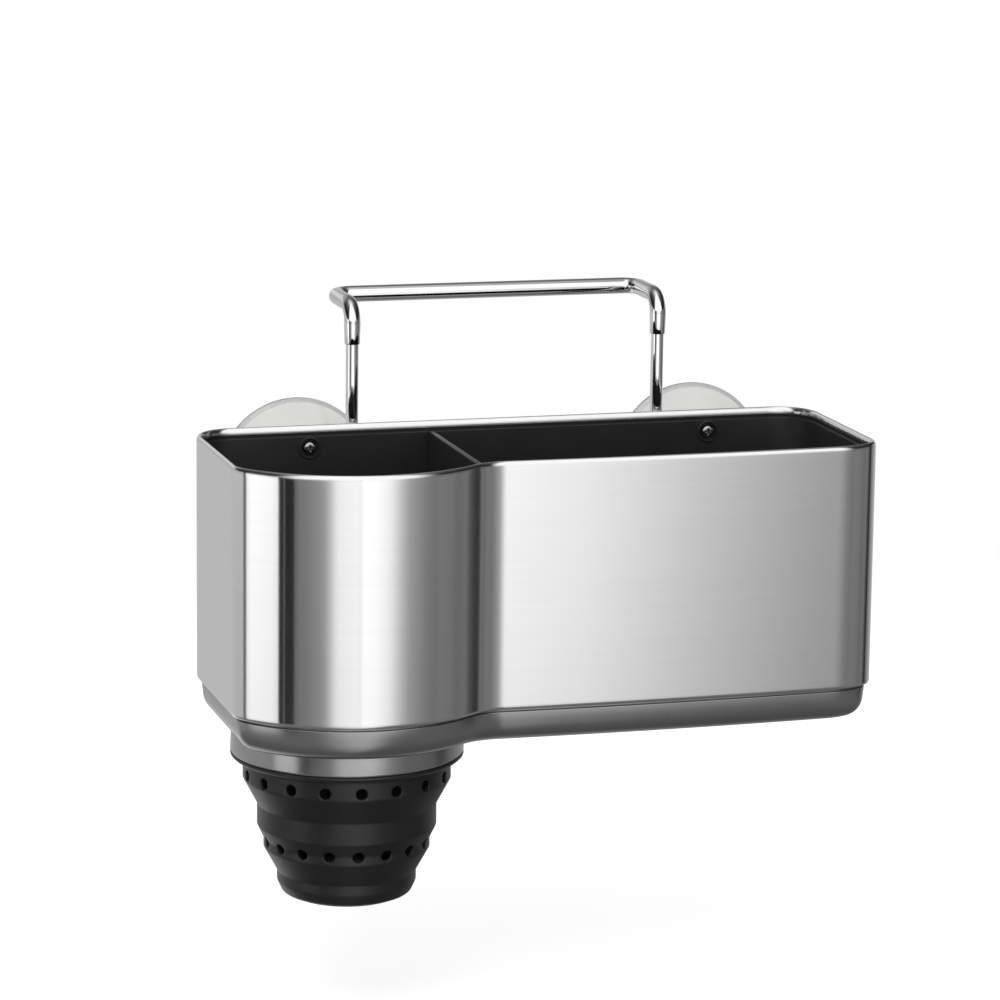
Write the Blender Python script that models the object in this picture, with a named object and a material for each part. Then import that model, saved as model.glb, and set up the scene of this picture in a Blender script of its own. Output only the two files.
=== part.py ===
"""Sink caddy: a steel-sleeved brush tub and sponge well that hang from a chrome hoop.

The frame has +X to the right, +Z up and +Y towards the wall. The origin lies on the wall
plane, midway between the two suction cups. Everything is in metres.
"""
import math

import bmesh
import bpy
from mathutils import Matrix, Vector

MM = 0.001

# Where the body hangs: the origin is on the wall, between the suction cups
BODY_CENTRE_X = -2.9 * MM
BODY_BACK_Y = -23.5 * MM
RIM_Z = 26.6 * MM

# Plan of the body, seen from above, with y measured from the body's back
BODY_WIDTH = 282.0 * MM
WELL_DEPTH = 100.5 * MM
BACK_CORNER_R = 18.0 * MM
FRONT_CORNER_R = 15.0 * MM
TUB_CENTRE = Vector((-84.0 * MM, -51.0 * MM))
TUB_R = 68.5 * MM
TUB_CORNER_R = 15.0 * MM
TUB_FILLET_R = 12.0 * MM

# Heights, measured down from the rim
STEEL_HEIGHT = 106.4 * MM
BASE_BOTTOM = 121.4 * MM
COLLAR_BOTTOM = 131.3 * MM
CUP_JOINT = 185.5 * MM
CUP_BOTTOM = 195.3 * MM

# Steel sleeve
STEEL = 0.8 * MM
HEM_WIDTH = 2.5 * MM
HEM_DROP = 3.0 * MM
CURL = 1.8 * MM

# Plastic liner
LINER_OUTSET = 1.1 * MM
LINER_WALL = 1.6 * MM
LINER_TOP = 3.3 * MM
LINER_STEP = 95.0 * MM
LINER_LOWER_INSET = 4.9 * MM

# Plastic base tray
BASE_INSET = 2.3 * MM
BASE_WALL = 2.2 * MM
BASE_FILLET = 9.0 * MM
BASE_TOP = 99.0 * MM

# Divider between the two wells
DIVIDER_X = -33.75 * MM
DIVIDER_THICK = 2.3 * MM
DIVIDER_TOP = 4.2 * MM

# Silicone cup under the tub
CUP_CENTRE = Vector((-83.3 * MM, -52.0 * MM))
COLLAR_R = 50.0 * MM
SPIGOT_R = 46.9 * MM
THROAT_R = 42.4 * MM
SILICONE = 1.9 * MM
TIER_R = (44.6 * MM, 38.5 * MM, 35.7 * MM, 29.9 * MM)
CUP_HOLE_R = 2.6 * MM
CUP_HOLES = 18
CUP_HOLE_PHASE = -6.0
CUP_HOLE_ROWS = ((140.2 * MM, TIER_R[0]), (170.2 * MM, TIER_R[2]))

# Chrome hanger
ROD_X = 69.85 * MM
ROD_Y = -17.0 * MM
ROD_R = 2.75 * MM
ROD_BOTTOM = -74.0 * MM
TUBE_R = 3.6 * MM
TUBE_END_R = 3.35 * MM
TUBE_BORE_R = 2.95 * MM
TUBE_BORE_DEPTH = 7.0 * MM
TUBE_END = 33.6 * MM
BAR_Z = 50.6 * MM
BAR_Y = 16.0 * MM
LEG_BEND_R = 8.0 * MM
BAR_BEND_R = 6.5 * MM

# Brackets and suction cups behind the body
CUP_PAD_X = 91.05 * MM
PAD_R = 34.6 * MM
BRACKET_CENTRE_X = 85.2 * MM
BRACKET_HALF_WIDTH = 22.0 * MM
BRACKET_HALF_HEIGHT = 20.2 * MM
BRACKET_PLATE = 3.0 * MM
BRACKET_DEPTH = 8.7 * MM
BRACKET_GAP = 0.3 * MM
BARREL_R = 5.9 * MM
BARREL_TOP = 20.5 * MM
BARREL_BOTTOM = -22.0 * MM
BUSH_R = 4.2 * MM
SCREW_Z = 16.8 * MM
SHANK_R = 1.45 * MM
SCREW_HEAD_R = 2.9 * MM
SCREW_CLEAR_R = 1.9 * MM

BASE_SCREWS = ((-125.0, -16.5), (-22.0, -88.0), (124.0, -17.0), (124.0, -84.0))


def remove_everything():
    """Empties the scene that the script is run in."""
    for obj in list(bpy.data.objects):
        bpy.data.objects.remove(obj, do_unlink=True)


def material(name, colour, roughness, metallic=0.0, alpha=1.0):
    """One Principled material for one finish."""
    mat = bpy.data.materials.new(name)
    mat.use_nodes = True
    shader = mat.node_tree.nodes["Principled BSDF"]
    shader.inputs["Base Color"].default_value = (*colour, 1.0)
    shader.inputs["Roughness"].default_value = roughness
    shader.inputs["Metallic"].default_value = metallic
    shader.inputs["Alpha"].default_value = alpha
    return mat


def add_object(name, bm, mat, smooth_angle=32.0):
    """Turns a bmesh into a named object with its normals pointing out."""
    bmesh.ops.recalc_face_normals(bm, faces=bm.faces)
    mesh = bpy.data.meshes.new(name)
    bm.to_mesh(mesh)
    bm.free()
    mesh.materials.append(mat)
    mesh.shade_smooth()
    mesh.set_sharp_from_angle(angle=math.radians(smooth_angle))
    obj = bpy.data.objects.new(name, mesh)
    bpy.context.scene.collection.objects.link(obj)
    return obj


def as_tool(obj):
    """Marks an object as a guide for a Boolean, not a piece of the caddy."""
    obj.hide_render = True
    obj.display_type = "WIRE"
    return obj


def combine(target, tool, operation):
    """Adds a Boolean of the target with a tool object."""
    as_tool(tool)
    modifier = target.modifiers.new(tool.name, "BOOLEAN")
    modifier.operation = operation
    modifier.solver = "EXACT"
    modifier.object = tool


def arc(centre, radius, start, end, steps):
    """Points along an arc, with its angles in degrees."""
    points = []
    for i in range(steps + 1):
        angle = math.radians(start + (end - start) * i / steps)
        points.append(centre + radius * Vector((math.cos(angle), math.sin(angle))))
    return points


def plan(inset):
    """The body's outline seen from above, moved in by inset, as (x, y) in the body's own frame."""
    half = BODY_WIDTH / 2
    corner = Vector((-half + TUB_CORNER_R, 0.0))
    reach = TUB_R - TUB_CORNER_R
    corner.y = TUB_CENTRE.y - math.sqrt(reach**2 - (corner.x - TUB_CENTRE.x) ** 2)
    fillet = Vector((0.0, -WELL_DEPTH - TUB_FILLET_R))
    span = TUB_R + TUB_FILLET_R
    fillet.x = TUB_CENTRE.x + math.sqrt(span**2 - (fillet.y - TUB_CENTRE.y) ** 2)
    to_corner = corner - TUB_CENTRE
    to_fillet = fillet - TUB_CENTRE
    tub_start = math.degrees(math.atan2(to_corner.y, to_corner.x)) % 360
    tub_end = math.degrees(math.atan2(to_fillet.y, to_fillet.x)) % 360

    back_left = Vector((-half + BACK_CORNER_R, -BACK_CORNER_R))
    back_right = Vector((half - BACK_CORNER_R, -BACK_CORNER_R))
    front_right = Vector((half - FRONT_CORNER_R, -WELL_DEPTH + FRONT_CORNER_R))
    points = arc(back_left, BACK_CORNER_R - inset, 90, 180, 5)
    points += arc(corner, TUB_CORNER_R - inset, 180, tub_start, 3)
    points += arc(TUB_CENTRE, TUB_R - inset, tub_start, tub_end, 13)[1:-1]
    points += arc(fillet, TUB_FILLET_R + inset, tub_end - 180, 90, 3)
    points += arc(front_right, FRONT_CORNER_R - inset, 270, 360, 5)
    points += arc(back_right, BACK_CORNER_R - inset, 0, 90, 5)
    return points


def body_point(x, y, drop):
    """A point given from the body's centre line, its back and its rim."""
    return Vector((BODY_CENTRE_X + x, BODY_BACK_Y + y, RIM_Z - drop))


def ring(bm, inset, drop):
    """Vertices round the body at one inset and one distance below the rim."""
    return [bm.verts.new(body_point(p.x, p.y, drop)) for p in plan(inset)]


def bridge(bm, lower, upper):
    """Quads between two rings with the same number of vertices."""
    count = len(lower)
    for i in range(count):
        j = (i + 1) % count
        bm.faces.new((lower[i], lower[j], upper[j], upper[i]))


def swept_ring(name, profile, mat):
    """A closed profile of (inset, drop) points carried all round the body's plan."""
    bm = bmesh.new()
    rings = [ring(bm, inset, drop) for inset, drop in profile]
    for i, here in enumerate(rings):
        bridge(bm, here, rings[(i + 1) % len(rings)])
    return add_object(name, bm, mat)


def swept_tub(name, profile, mat):
    """An open profile carried round the plan, closed by a flat floor at each end."""
    bm = bmesh.new()
    rings = [ring(bm, inset, drop) for inset, drop in profile]
    for here, there in zip(rings, rings[1:]):
        bridge(bm, here, there)
    bm.faces.new(rings[0])
    bm.faces.new(rings[-1])
    return add_object(name, bm, mat)


def turned(name, profile, mat, centre, axis="Z", sides=36, phase=0.0, smooth_angle=32.0):
    """A solid of revolution from (radius, along) points; a zero radius closes an end."""
    bm = bmesh.new()
    rings = []
    for radius, along in profile:
        row = []
        for i in range(sides if radius else 1):
            angle = 2 * math.pi * i / sides + math.radians(phase)
            u, v = radius * math.cos(angle), radius * math.sin(angle)
            row.append(bm.verts.new((u, v, along) if axis == "Z" else (u, along, v)))
        rings.append(row)
    closed = len(rings[0]) > 1
    pairs = list(zip(rings, rings[1:]))
    if closed:
        pairs.append((rings[-1], rings[0]))
    for here, there in pairs:
        for i in range(sides):
            j = (i + 1) % sides
            if len(here) == 1:
                bm.faces.new((here[0], there[j], there[i]))
            elif len(there) == 1:
                bm.faces.new((here[i], here[j], there[0]))
            else:
                bm.faces.new((here[i], here[j], there[j], there[i]))
    obj = add_object(name, bm, mat, smooth_angle)
    obj.location = centre
    return obj


def cylinder(name, radius, start, end, centre, mat, axis="Z", sides=20):
    """A plain round bar between two distances along its axis."""
    profile = [(0.0, start), (radius, start), (radius, end), (0.0, end)]
    return turned(name, profile, mat, centre, axis, sides)


def block(name, low, high, mat):
    """A box between two corners."""
    bm = bmesh.new()
    bmesh.ops.create_cube(bm, size=1.0)
    low, high = Vector(low), Vector(high)
    for vert in bm.verts:
        for k in range(3):
            vert.co[k] = low[k] if vert.co[k] < 0 else high[k]
    return add_object(name, bm, mat)


def rounded_plate(name, half_x, half_z, radius, low_y, high_y, centre_x, mat):
    """An upright plate with rounded corners, between two distances from the wall."""
    outline = []
    corners = ((1, 1, 0), (-1, 1, 90), (-1, -1, 180), (1, -1, 270))
    for sx, sz, start in corners:
        middle = Vector((sx * (half_x - radius), sz * (half_z - radius)))
        outline += arc(middle, radius, start, start + 90, 4)
    bm = bmesh.new()
    front = [bm.verts.new((centre_x + p.x, low_y, p.y)) for p in outline]
    back = [bm.verts.new((centre_x + p.x, high_y, p.y)) for p in outline]
    bridge(bm, front, back)
    bm.faces.new(front)
    bm.faces.new(back)
    return add_object(name, bm, mat)


def screw_places():
    """Centres of the four bracket screws, as (x, z)."""
    return [(side * CUP_PAD_X, level * SCREW_Z) for side in (-1, 1) for level in (1, -1)]


def steel_sleeve(mat):
    """The bent steel wall, with a rolled hem at the rim and a curled lower edge."""
    drop = STEEL_HEIGHT
    profile = [
        (0.0, 2.3 * MM),
        (0.25 * MM, 1.1 * MM),
        (0.75 * MM, 0.3 * MM),
        (1.35 * MM, 0.0),
        (2.0 * MM, 0.3 * MM),
        (HEM_WIDTH, 1.2 * MM),
        (HEM_WIDTH, HEM_DROP),
        (STEEL, HEM_DROP),
        (STEEL, drop - 1.6 * MM),
        (CURL, drop - 0.8 * MM),
        (CURL, drop - 0.1 * MM),
        (0.9 * MM, drop),
        (0.3 * MM, drop - 0.5 * MM),
        (0.0, drop - 1.5 * MM),
    ]
    sleeve = swept_ring("steel_sleeve", profile, mat)
    for i, (x, z) in enumerate(screw_places()):
        centre = (x, BODY_BACK_Y, z)
        hole = cylinder(f"sleeve_hole_{i}", SCREW_CLEAR_R, -2.0 * MM, 1.0 * MM, centre, mat, "Y", 12)
        combine(sleeve, hole, "DIFFERENCE")
    return sleeve


def base_profile(inset, wall_top, radius, floor_steps=4):
    """Wall and rounded lower edge of a tray, ending where its flat floor begins."""
    centre_inset = BASE_INSET + BASE_FILLET
    centre_drop = BASE_BOTTOM - BASE_FILLET
    points = [(inset, wall_top)]
    for i in range(floor_steps + 1):
        angle = math.pi / 2 * i / floor_steps
        points.append((centre_inset - radius * math.cos(angle), centre_drop + radius * math.sin(angle)))
    return points


def inner_liner(mat):
    """The black moulding that lines both wells, with drains, screw seats and bosses."""
    lower_radius = BASE_FILLET - BASE_WALL - 0.5 * MM
    outer = [(LINER_OUTSET, LINER_TOP), (LINER_OUTSET, LINER_STEP)]
    outer += base_profile(LINER_LOWER_INSET, LINER_STEP + 3.0 * MM, lower_radius, 3)
    thick = LINER_WALL
    inner = [(LINER_OUTSET + thick, LINER_TOP), (LINER_OUTSET + thick, LINER_STEP - 1.0 * MM)]
    inner += base_profile(LINER_LOWER_INSET + thick, LINER_STEP + 2.4 * MM, lower_radius - thick, 3)
    liner = swept_tub("inner_liner", outer[::-1] + inner, mat)

    floor_out = BASE_BOTTOM - BASE_FILLET + lower_radius
    floor_in = floor_out - thick
    ribs = []
    for i, y in enumerate((-26.0, -50.0, -74.0)):
        low = body_point(-24.0 * MM, (y - 1.0) * MM, floor_in + 0.4 * MM)
        high = body_point(126.0 * MM, (y + 1.0) * MM, floor_in - 3.0 * MM)
        ribs.append(block(f"floor_rib_{i}", low, high, mat))
    for i, (x, y) in enumerate(BASE_SCREWS):
        foot = body_point(x * MM, y * MM, floor_in + 0.4 * MM)
        ribs.append(cylinder(f"screw_post_{i}", 3.6 * MM, 0.0, 5.0 * MM, foot, mat, sides=10))
    for rib in ribs:
        combine(liner, rib, "UNION")

    cuts = []
    throat = body_point(CUP_CENTRE.x, CUP_CENTRE.y, floor_out)
    cuts.append(cylinder("liner_throat", THROAT_R + 2.0 * MM, -3.0 * MM, 5.0 * MM, throat, mat, sides=36))
    for i, (x, z) in enumerate(screw_places()):
        centre = (x, BODY_BACK_Y, z)
        profile = [
            (0.0, -6.0 * MM),
            (4.1 * MM, -6.0 * MM),
            (4.1 * MM, -1.9 * MM),
            (SCREW_CLEAR_R, -1.9 * MM),
            (SCREW_CLEAR_R, 0.0),
            (0.0, 0.0),
        ]
        cuts.append(turned(f"screw_seat_{i}", profile, mat, centre, "Y", 12))
    for i, (x, y) in enumerate(BASE_SCREWS):
        foot = body_point(x * MM, y * MM, floor_out)
        cuts.append(cylinder(f"post_bore_{i}", 1.75 * MM, -1.0 * MM, 4.6 * MM, foot, mat, sides=10))
    cuts += drain_slots("liner_drain", floor_out + 1.0 * MM, floor_in - 1.0 * MM, 2.0 * MM, mat)
    for cut in cuts:
        combine(liner, cut, "DIFFERENCE")
    return liner


def drain_slots(name, bottom, top, half_width, mat):
    """Cutters for the two rows of drain slots under the sponge well."""
    slots = []
    for row, y in enumerate((-38.0, -62.0)):
        for i in range(4):
            middle = (-4.0 + 36.0 * i) * MM
            low = body_point(middle - 11.0 * MM, y * MM - half_width, bottom)
            high = body_point(middle + 11.0 * MM, y * MM + half_width, top)
            slots.append(block(f"{name}_{row}_{i}", low, high, mat))
    return slots


def well_divider(mat):
    """The plate between the brush tub and the sponge well."""
    front = -WELL_DEPTH + LINER_OUTSET + LINER_WALL + 0.35 * MM
    back = -LINER_OUTSET - LINER_WALL - 0.35 * MM
    lower = LINER_LOWER_INSET - LINER_OUTSET + 0.6 * MM
    bottom = BASE_BOTTOM - BASE_WALL - 0.5 * MM - LINER_WALL - 0.35 * MM
    step = LINER_STEP - 2.0 * MM
    radius = 5.0 * MM
    side = [(back, DIVIDER_TOP), (back, step), (back - lower, step + 3.0 * MM)]
    side += [(back - lower, bottom - radius), (back - lower - 0.3 * radius, bottom - 0.3 * radius)]
    side.append((back - lower - radius, bottom))
    mirrored = [(front + back - y, drop) for y, drop in reversed(side)]
    outline = side + mirrored
    bm = bmesh.new()
    half = DIVIDER_THICK / 2
    left = [bm.verts.new(body_point(DIVIDER_X - half, y, drop)) for y, drop in outline]
    right = [bm.verts.new(body_point(DIVIDER_X + half, y, drop)) for y, drop in outline]
    bridge(bm, left, right)
    bm.faces.new(left)
    bm.faces.new(right)
    plate = add_object("well_divider", bm, mat)
    bevel = plate.modifiers.new("rounded edges", "BEVEL")
    bevel.width = 0.5 * MM
    bevel.segments = 2
    bevel.limit_method = "ANGLE"
    bevel.angle_limit = math.radians(50)
    return plate


def base_tray(mat):
    """The grey tray under the sleeve, with a spigot for the cup and drains for the well."""
    outer = base_profile(BASE_INSET, BASE_TOP, BASE_FILLET, 5)
    inner = base_profile(BASE_INSET + BASE_WALL, BASE_TOP, BASE_FILLET - BASE_WALL, 3)
    tray = swept_tub("base_tray", outer[::-1] + inner, mat)
    middle = body_point(CUP_CENTRE.x, CUP_CENTRE.y, BASE_BOTTOM)
    spigot = cylinder("spigot", SPIGOT_R, -8.1 * MM, 1.2 * MM, middle, mat, sides=40)
    combine(tray, spigot, "UNION")
    cuts = [cylinder("tray_throat", THROAT_R, -12.0 * MM, 6.0 * MM, middle, mat, sides=40)]
    for i, (x, y) in enumerate(BASE_SCREWS):
        foot = body_point(x * MM, y * MM, BASE_BOTTOM)
        profile = [
            (0.0, -1.0 * MM),
            (3.4 * MM, -1.0 * MM),
            (3.4 * MM, 0.9 * MM),
            (SCREW_CLEAR_R, 0.9 * MM),
            (SCREW_CLEAR_R, 4.0 * MM),
            (0.0, 4.0 * MM),
        ]
        cuts.append(turned(f"tray_screw_{i}", profile, mat, foot, sides=10))
    cuts += drain_slots("tray_drain", BASE_BOTTOM + 1.0 * MM, BASE_BOTTOM - 4.0 * MM, 3.0 * MM, mat)
    for cut in cuts:
        combine(tray, cut, "DIFFERENCE")
    return tray


def collar_ring(mat):
    """The round collar that clamps the cup's flange under the tub."""
    top = RIM_Z - BASE_BOTTOM - 0.3 * MM
    bottom = RIM_Z - COLLAR_BOTTOM
    bore = SPIGOT_R + 0.3 * MM
    profile = [
        (bore, top),
        (COLLAR_R - 0.5 * MM, top),
        (COLLAR_R, bottom + 0.6 * MM),
        (COLLAR_R - 0.4 * MM, bottom),
        (bore, bottom),
    ]
    return turned("collar_ring", profile, mat, cup_axis(), sides=40)


def cup_axis():
    """The foot of the cup's vertical axis, at the origin's height."""
    return Vector((BODY_CENTRE_X + CUP_CENTRE.x, BODY_BACK_Y + CUP_CENTRE.y, 0.0))


def down(*pairs):
    """Turns (radius in mm, drop below the rim in mm) pairs into profile points."""
    return [(radius * MM, RIM_Z - drop * MM) for radius, drop in pairs]


def cup_bellows(mat):
    """The folding upper part of the silicone cup: bead, sleeve, flange and three tiers."""
    r1, r2, r3, r4 = (radius / MM for radius in TIER_R)
    wall = SILICONE / MM
    outside = down(
        (43.5, 117.0), (43.5, 118.3), (42.0, 118.3), (42.0, 131.6),
        (49.8, 131.6), (50.0, 132.7), (48.8, 133.8), (r1 + 0.6, 134.4), (r1, 135.4),
        (r1, 143.0), (r2, 154.6),
        (r2, 164.1), (r3, 169.9), (r3, 173.9), (r4 + 0.2, 184.0), (r4, CUP_JOINT / MM),
    )
    inside = down(
        (r4 - wall, CUP_JOINT / MM), (r3 - wall, 173.6),
        (r3 - wall, 170.0), (r2 - wall, 163.6), (r2 - wall, 155.4),
        (r1 - wall, 143.0), (r1 - wall, 135.4), (40.3, 131.6), (40.3, 117.0),
    )
    bellows = turned("cup_bellows", outside + inside, mat, cup_axis(), sides=36, phase=CUP_HOLE_PHASE)
    for row, (drop, radius) in enumerate(CUP_HOLE_ROWS):
        combine(bellows, hole_star(f"cup_holes_{row}", drop, radius, mat), "DIFFERENCE")
    return bellows


def hole_star(name, drop, radius, mat):
    """A ring of radial pins that cut one row of drain holes in the cup."""
    bm = bmesh.new()
    for i in range(CUP_HOLES):
        turn = math.radians(CUP_HOLE_PHASE - 90 + 360 * i / CUP_HOLES)
        place = Matrix.Rotation(turn, 4, "Z") @ Matrix.Translation((radius, 0.0, RIM_Z - drop))
        place = place @ Matrix.Rotation(math.pi / 2, 4, "Y")
        bmesh.ops.create_cone(
            bm, cap_ends=True, segments=8, radius1=CUP_HOLE_R, radius2=CUP_HOLE_R,
            depth=9.0 * MM, matrix=place,
        )
    star = add_object(name, bm, mat)
    star.location = cup_axis()
    return star


def cup_base(mat):
    """The closed lower end of the cup, which pushes up inside the tiers."""
    r4 = TIER_R[3] / MM
    wall = SILICONE / MM
    top = CUP_JOINT / MM + 0.3
    bottom = CUP_BOTTOM / MM
    profile = down(
        (0.0, bottom), (r4 - 7.0, bottom), (r4 - 3.6, bottom - 0.9), (r4 - 1.0, bottom - 3.3),
        (r4, bottom - 7.0), (r4, top), (r4 - wall, top), (r4 - wall, bottom - 7.0),
        (r4 - wall - 1.4, bottom - 4.0), (r4 - wall - 5.0, bottom - 2.2), (0.0, bottom - 2.2),
    )
    return turned("cup_base", profile, mat, cup_axis(), sides=36, phase=CUP_HOLE_PHASE)


def cup_retainer(mat):
    """The stiff ring inside the silicone sleeve that keeps its bead over the tray's floor."""
    profile = down(
        (38.4, 129.6), (40.0, 129.6), (40.0, 116.7), (43.3, 116.7), (43.3, 115.5), (38.4, 115.5),
    )
    return turned("cup_retainer", profile, mat, cup_axis(), sides=36, phase=CUP_HOLE_PHASE)


def rear_bracket(side, mat):
    """One bracket on the back: plate, rod barrel, cup socket and two screw bosses."""
    word = "left" if side < 0 else "right"
    x = side * CUP_PAD_X
    front = BODY_BACK_Y + BRACKET_GAP
    plate_back = front + BRACKET_PLATE
    back = front + BRACKET_DEPTH
    bracket = rounded_plate(
        f"rear_bracket_{word}", BRACKET_HALF_WIDTH, BRACKET_HALF_HEIGHT, 6.0 * MM, front, plate_back,
        side * BRACKET_CENTRE_X, mat,
    )
    barrel = cylinder(
        f"barrel_{word}", BARREL_R, BARREL_BOTTOM, BARREL_TOP, (side * ROD_X, ROD_Y, 0.0), mat, sides=16,
    )
    recess = back - 5.55 * MM
    hub = [
        (0.0, recess),
        (6.3 * MM, recess),
        (6.3 * MM, back - 1.4 * MM),
        (5.1 * MM, back - 1.4 * MM),
        (5.1 * MM, back),
        (11.0 * MM, back),
        (11.0 * MM, front + 0.5 * MM),
        (0.0, front + 0.5 * MM),
    ]
    parts = [barrel, turned(f"socket_{word}", hub, mat, (x, 0.0, 0.0), "Y", 18)]
    for level in (-1, 1):
        centre = (x, 0.0, level * SCREW_Z)
        parts.append(cylinder(f"boss_{word}_{level}", 3.1 * MM, front + 0.6 * MM, back, centre, mat, "Y", 12))
        ends = sorted((level * 10.0 * MM, level * (SCREW_Z - 2.6 * MM)))
        low = (x - 1.1 * MM, front + 0.8 * MM, ends[0])
        high = (x + 1.1 * MM, back - 0.7 * MM, ends[1])
        parts.append(block(f"rib_{word}_{level}", low, high, mat))
    for part in parts:
        combine(bracket, part, "UNION")

    cuts = []
    for level in (-1, 1):
        centre = (x, 0.0, level * SCREW_Z)
        cuts.append(
            cylinder(f"pilot_{word}_{level}", 1.75 * MM, front - 1.0 * MM, back - 1.3 * MM, centre, mat, "Y", 10)
        )
    bore = cylinder(
        f"barrel_bore_{word}", BUSH_R + 0.25 * MM, BARREL_BOTTOM - 1.0 * MM, BARREL_TOP + 1.0 * MM,
        (side * ROD_X, ROD_Y, 0.0), mat, sides=16,
    )
    cuts.append(bore)
    for cut in cuts:
        combine(bracket, cut, "DIFFERENCE")
    return bracket


def rod_bush(side, mat):
    """The sleeve that grips a hanger rod inside its bracket."""
    word = "left" if side < 0 else "right"
    bore = ROD_R + 0.2 * MM
    profile = [
        (bore, BARREL_BOTTOM + 2.0 * MM),
        (BUSH_R, BARREL_BOTTOM + 2.0 * MM),
        (BUSH_R, BARREL_TOP + 0.3 * MM),
        (BARREL_R - 0.6 * MM, BARREL_TOP + 0.3 * MM),
        (BARREL_R - 1.0 * MM, BARREL_TOP + 1.8 * MM),
        (bore, BARREL_TOP + 1.8 * MM),
    ]
    return turned(f"rod_bush_{word}", profile, mat, (side * ROD_X, ROD_Y, 0.0), sides=16)


def suction_cup(side, mat):
    """A clear suction cup whose button snaps into the bracket's socket."""
    word = "left" if side < 0 else "right"
    profile = [
        (0.0, -4.8), (12.0, -4.2), (22.0, -2.9), (31.4, 0.0),
        (PAD_R / MM, 0.0), (PAD_R / MM, -1.7), (33.4, -2.4), (27.0, -5.2),
        (9.0, -11.5), (7.8, -13.2), (4.7, -13.8), (4.7, -16.3),
        (5.9, -16.8), (5.9, -18.6), (4.6, -19.7), (0.0, -19.7),
    ]
    metres = [(radius * MM, along * MM) for radius, along in profile]
    return turned(f"suction_cup_{word}", metres, mat, (side * CUP_PAD_X, 0.0, 0.0), "Y", 24)


def bracket_screw(side, level, mat):
    """One pan-head screw that holds a bracket from inside the well."""
    word = "left" if side < 0 else "right"
    rank = "upper" if level > 0 else "lower"
    head = -2.2 * MM
    profile = [
        (0.0, head - 2.0 * MM),
        (1.8 * MM, head - 1.8 * MM),
        (SCREW_HEAD_R, head - 0.6 * MM),
        (SCREW_HEAD_R, head),
        (SHANK_R, head),
        (SHANK_R, 6.0 * MM),
        (0.0, 7.2 * MM),
    ]
    centre = (side * CUP_PAD_X, BODY_BACK_Y, level * SCREW_Z)
    return turned(f"bracket_screw_{rank}_{word}", profile, mat, centre, "Y", 12)


def base_screw(number, place, mat):
    """One pan-head screw that holds the tray up against the liner."""
    foot = body_point(place[0] * MM, place[1] * MM, BASE_BOTTOM)
    head = 0.6 * MM
    profile = [
        (0.0, head - 1.6 * MM),
        (2.2 * MM, head - 1.4 * MM),
        (SCREW_HEAD_R, head),
        (SHANK_R, head),
        (SHANK_R, 5.8 * MM),
        (0.0, 6.6 * MM),
    ]
    return turned(f"base_screw_{number}", profile, mat, foot, sides=10)


def hanger_rod(side, mat):
    """One straight rod that slides in its bush and carries the hoop."""
    word = "left" if side < 0 else "right"
    top = RIM_Z + TUBE_END + TUBE_BORE_DEPTH - 0.3 * MM
    bottom = RIM_Z + ROD_BOTTOM
    profile = [
        (0.0, bottom),
        (ROD_R, bottom),
        (ROD_R, top - 0.5 * MM),
        (ROD_R - 0.5 * MM, top),
        (0.0, top),
    ]
    return turned(f"hanger_rod_{word}", profile, mat, (side * ROD_X, ROD_Y, 0.0), sides=16)


def rod_cap(side, mat):
    """The rubber cap on a rod's lower end, which also stops it leaving the bracket."""
    word = "left" if side < 0 else "right"
    bottom = RIM_Z + ROD_BOTTOM
    bore = ROD_R + 0.2 * MM
    profile = [
        (0.0, bottom - 2.0 * MM),
        (3.2 * MM, bottom - 2.0 * MM),
        (4.4 * MM, bottom - 0.8 * MM),
        (4.2 * MM, bottom + 8.2 * MM),
        (bore, bottom + 8.2 * MM),
        (bore, bottom - 0.3 * MM),
        (0.0, bottom - 0.3 * MM),
    ]
    return turned(f"rod_cap_{word}", profile, mat, (side * ROD_X, ROD_Y, 0.0), sides=16)


def hoop_route():
    """The hoop's centre line from the left leg's end to the right, as (point, radius) pairs."""
    foot = RIM_Z + TUBE_END
    bar = RIM_Z + BAR_Z
    route = [
        (Vector((-ROD_X, ROD_Y, foot)), TUBE_END_R - 0.45 * MM),
        (Vector((-ROD_X, ROD_Y, foot + 0.4 * MM)), TUBE_END_R),
        (Vector((-ROD_X, ROD_Y, foot + 4.0 * MM)), TUBE_END_R + 0.1 * MM),
    ]
    for i in range(5):
        angle = math.pi / 2 * i / 4
        point = Vector((-ROD_X, ROD_Y + LEG_BEND_R * (1 - math.cos(angle)), bar - LEG_BEND_R * (1 - math.sin(angle))))
        route.append((point, TUBE_R))
    for i in range(5):
        angle = math.pi / 2 * i / 4
        point = Vector((-ROD_X + BAR_BEND_R * (1 - math.cos(angle)), BAR_Y - BAR_BEND_R * (1 - math.sin(angle)), bar))
        route.append((point, TUBE_R))
    mirrored = [(Vector((-point.x, point.y, point.z)), radius) for point, radius in reversed(route)]
    return route + mirrored


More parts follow.
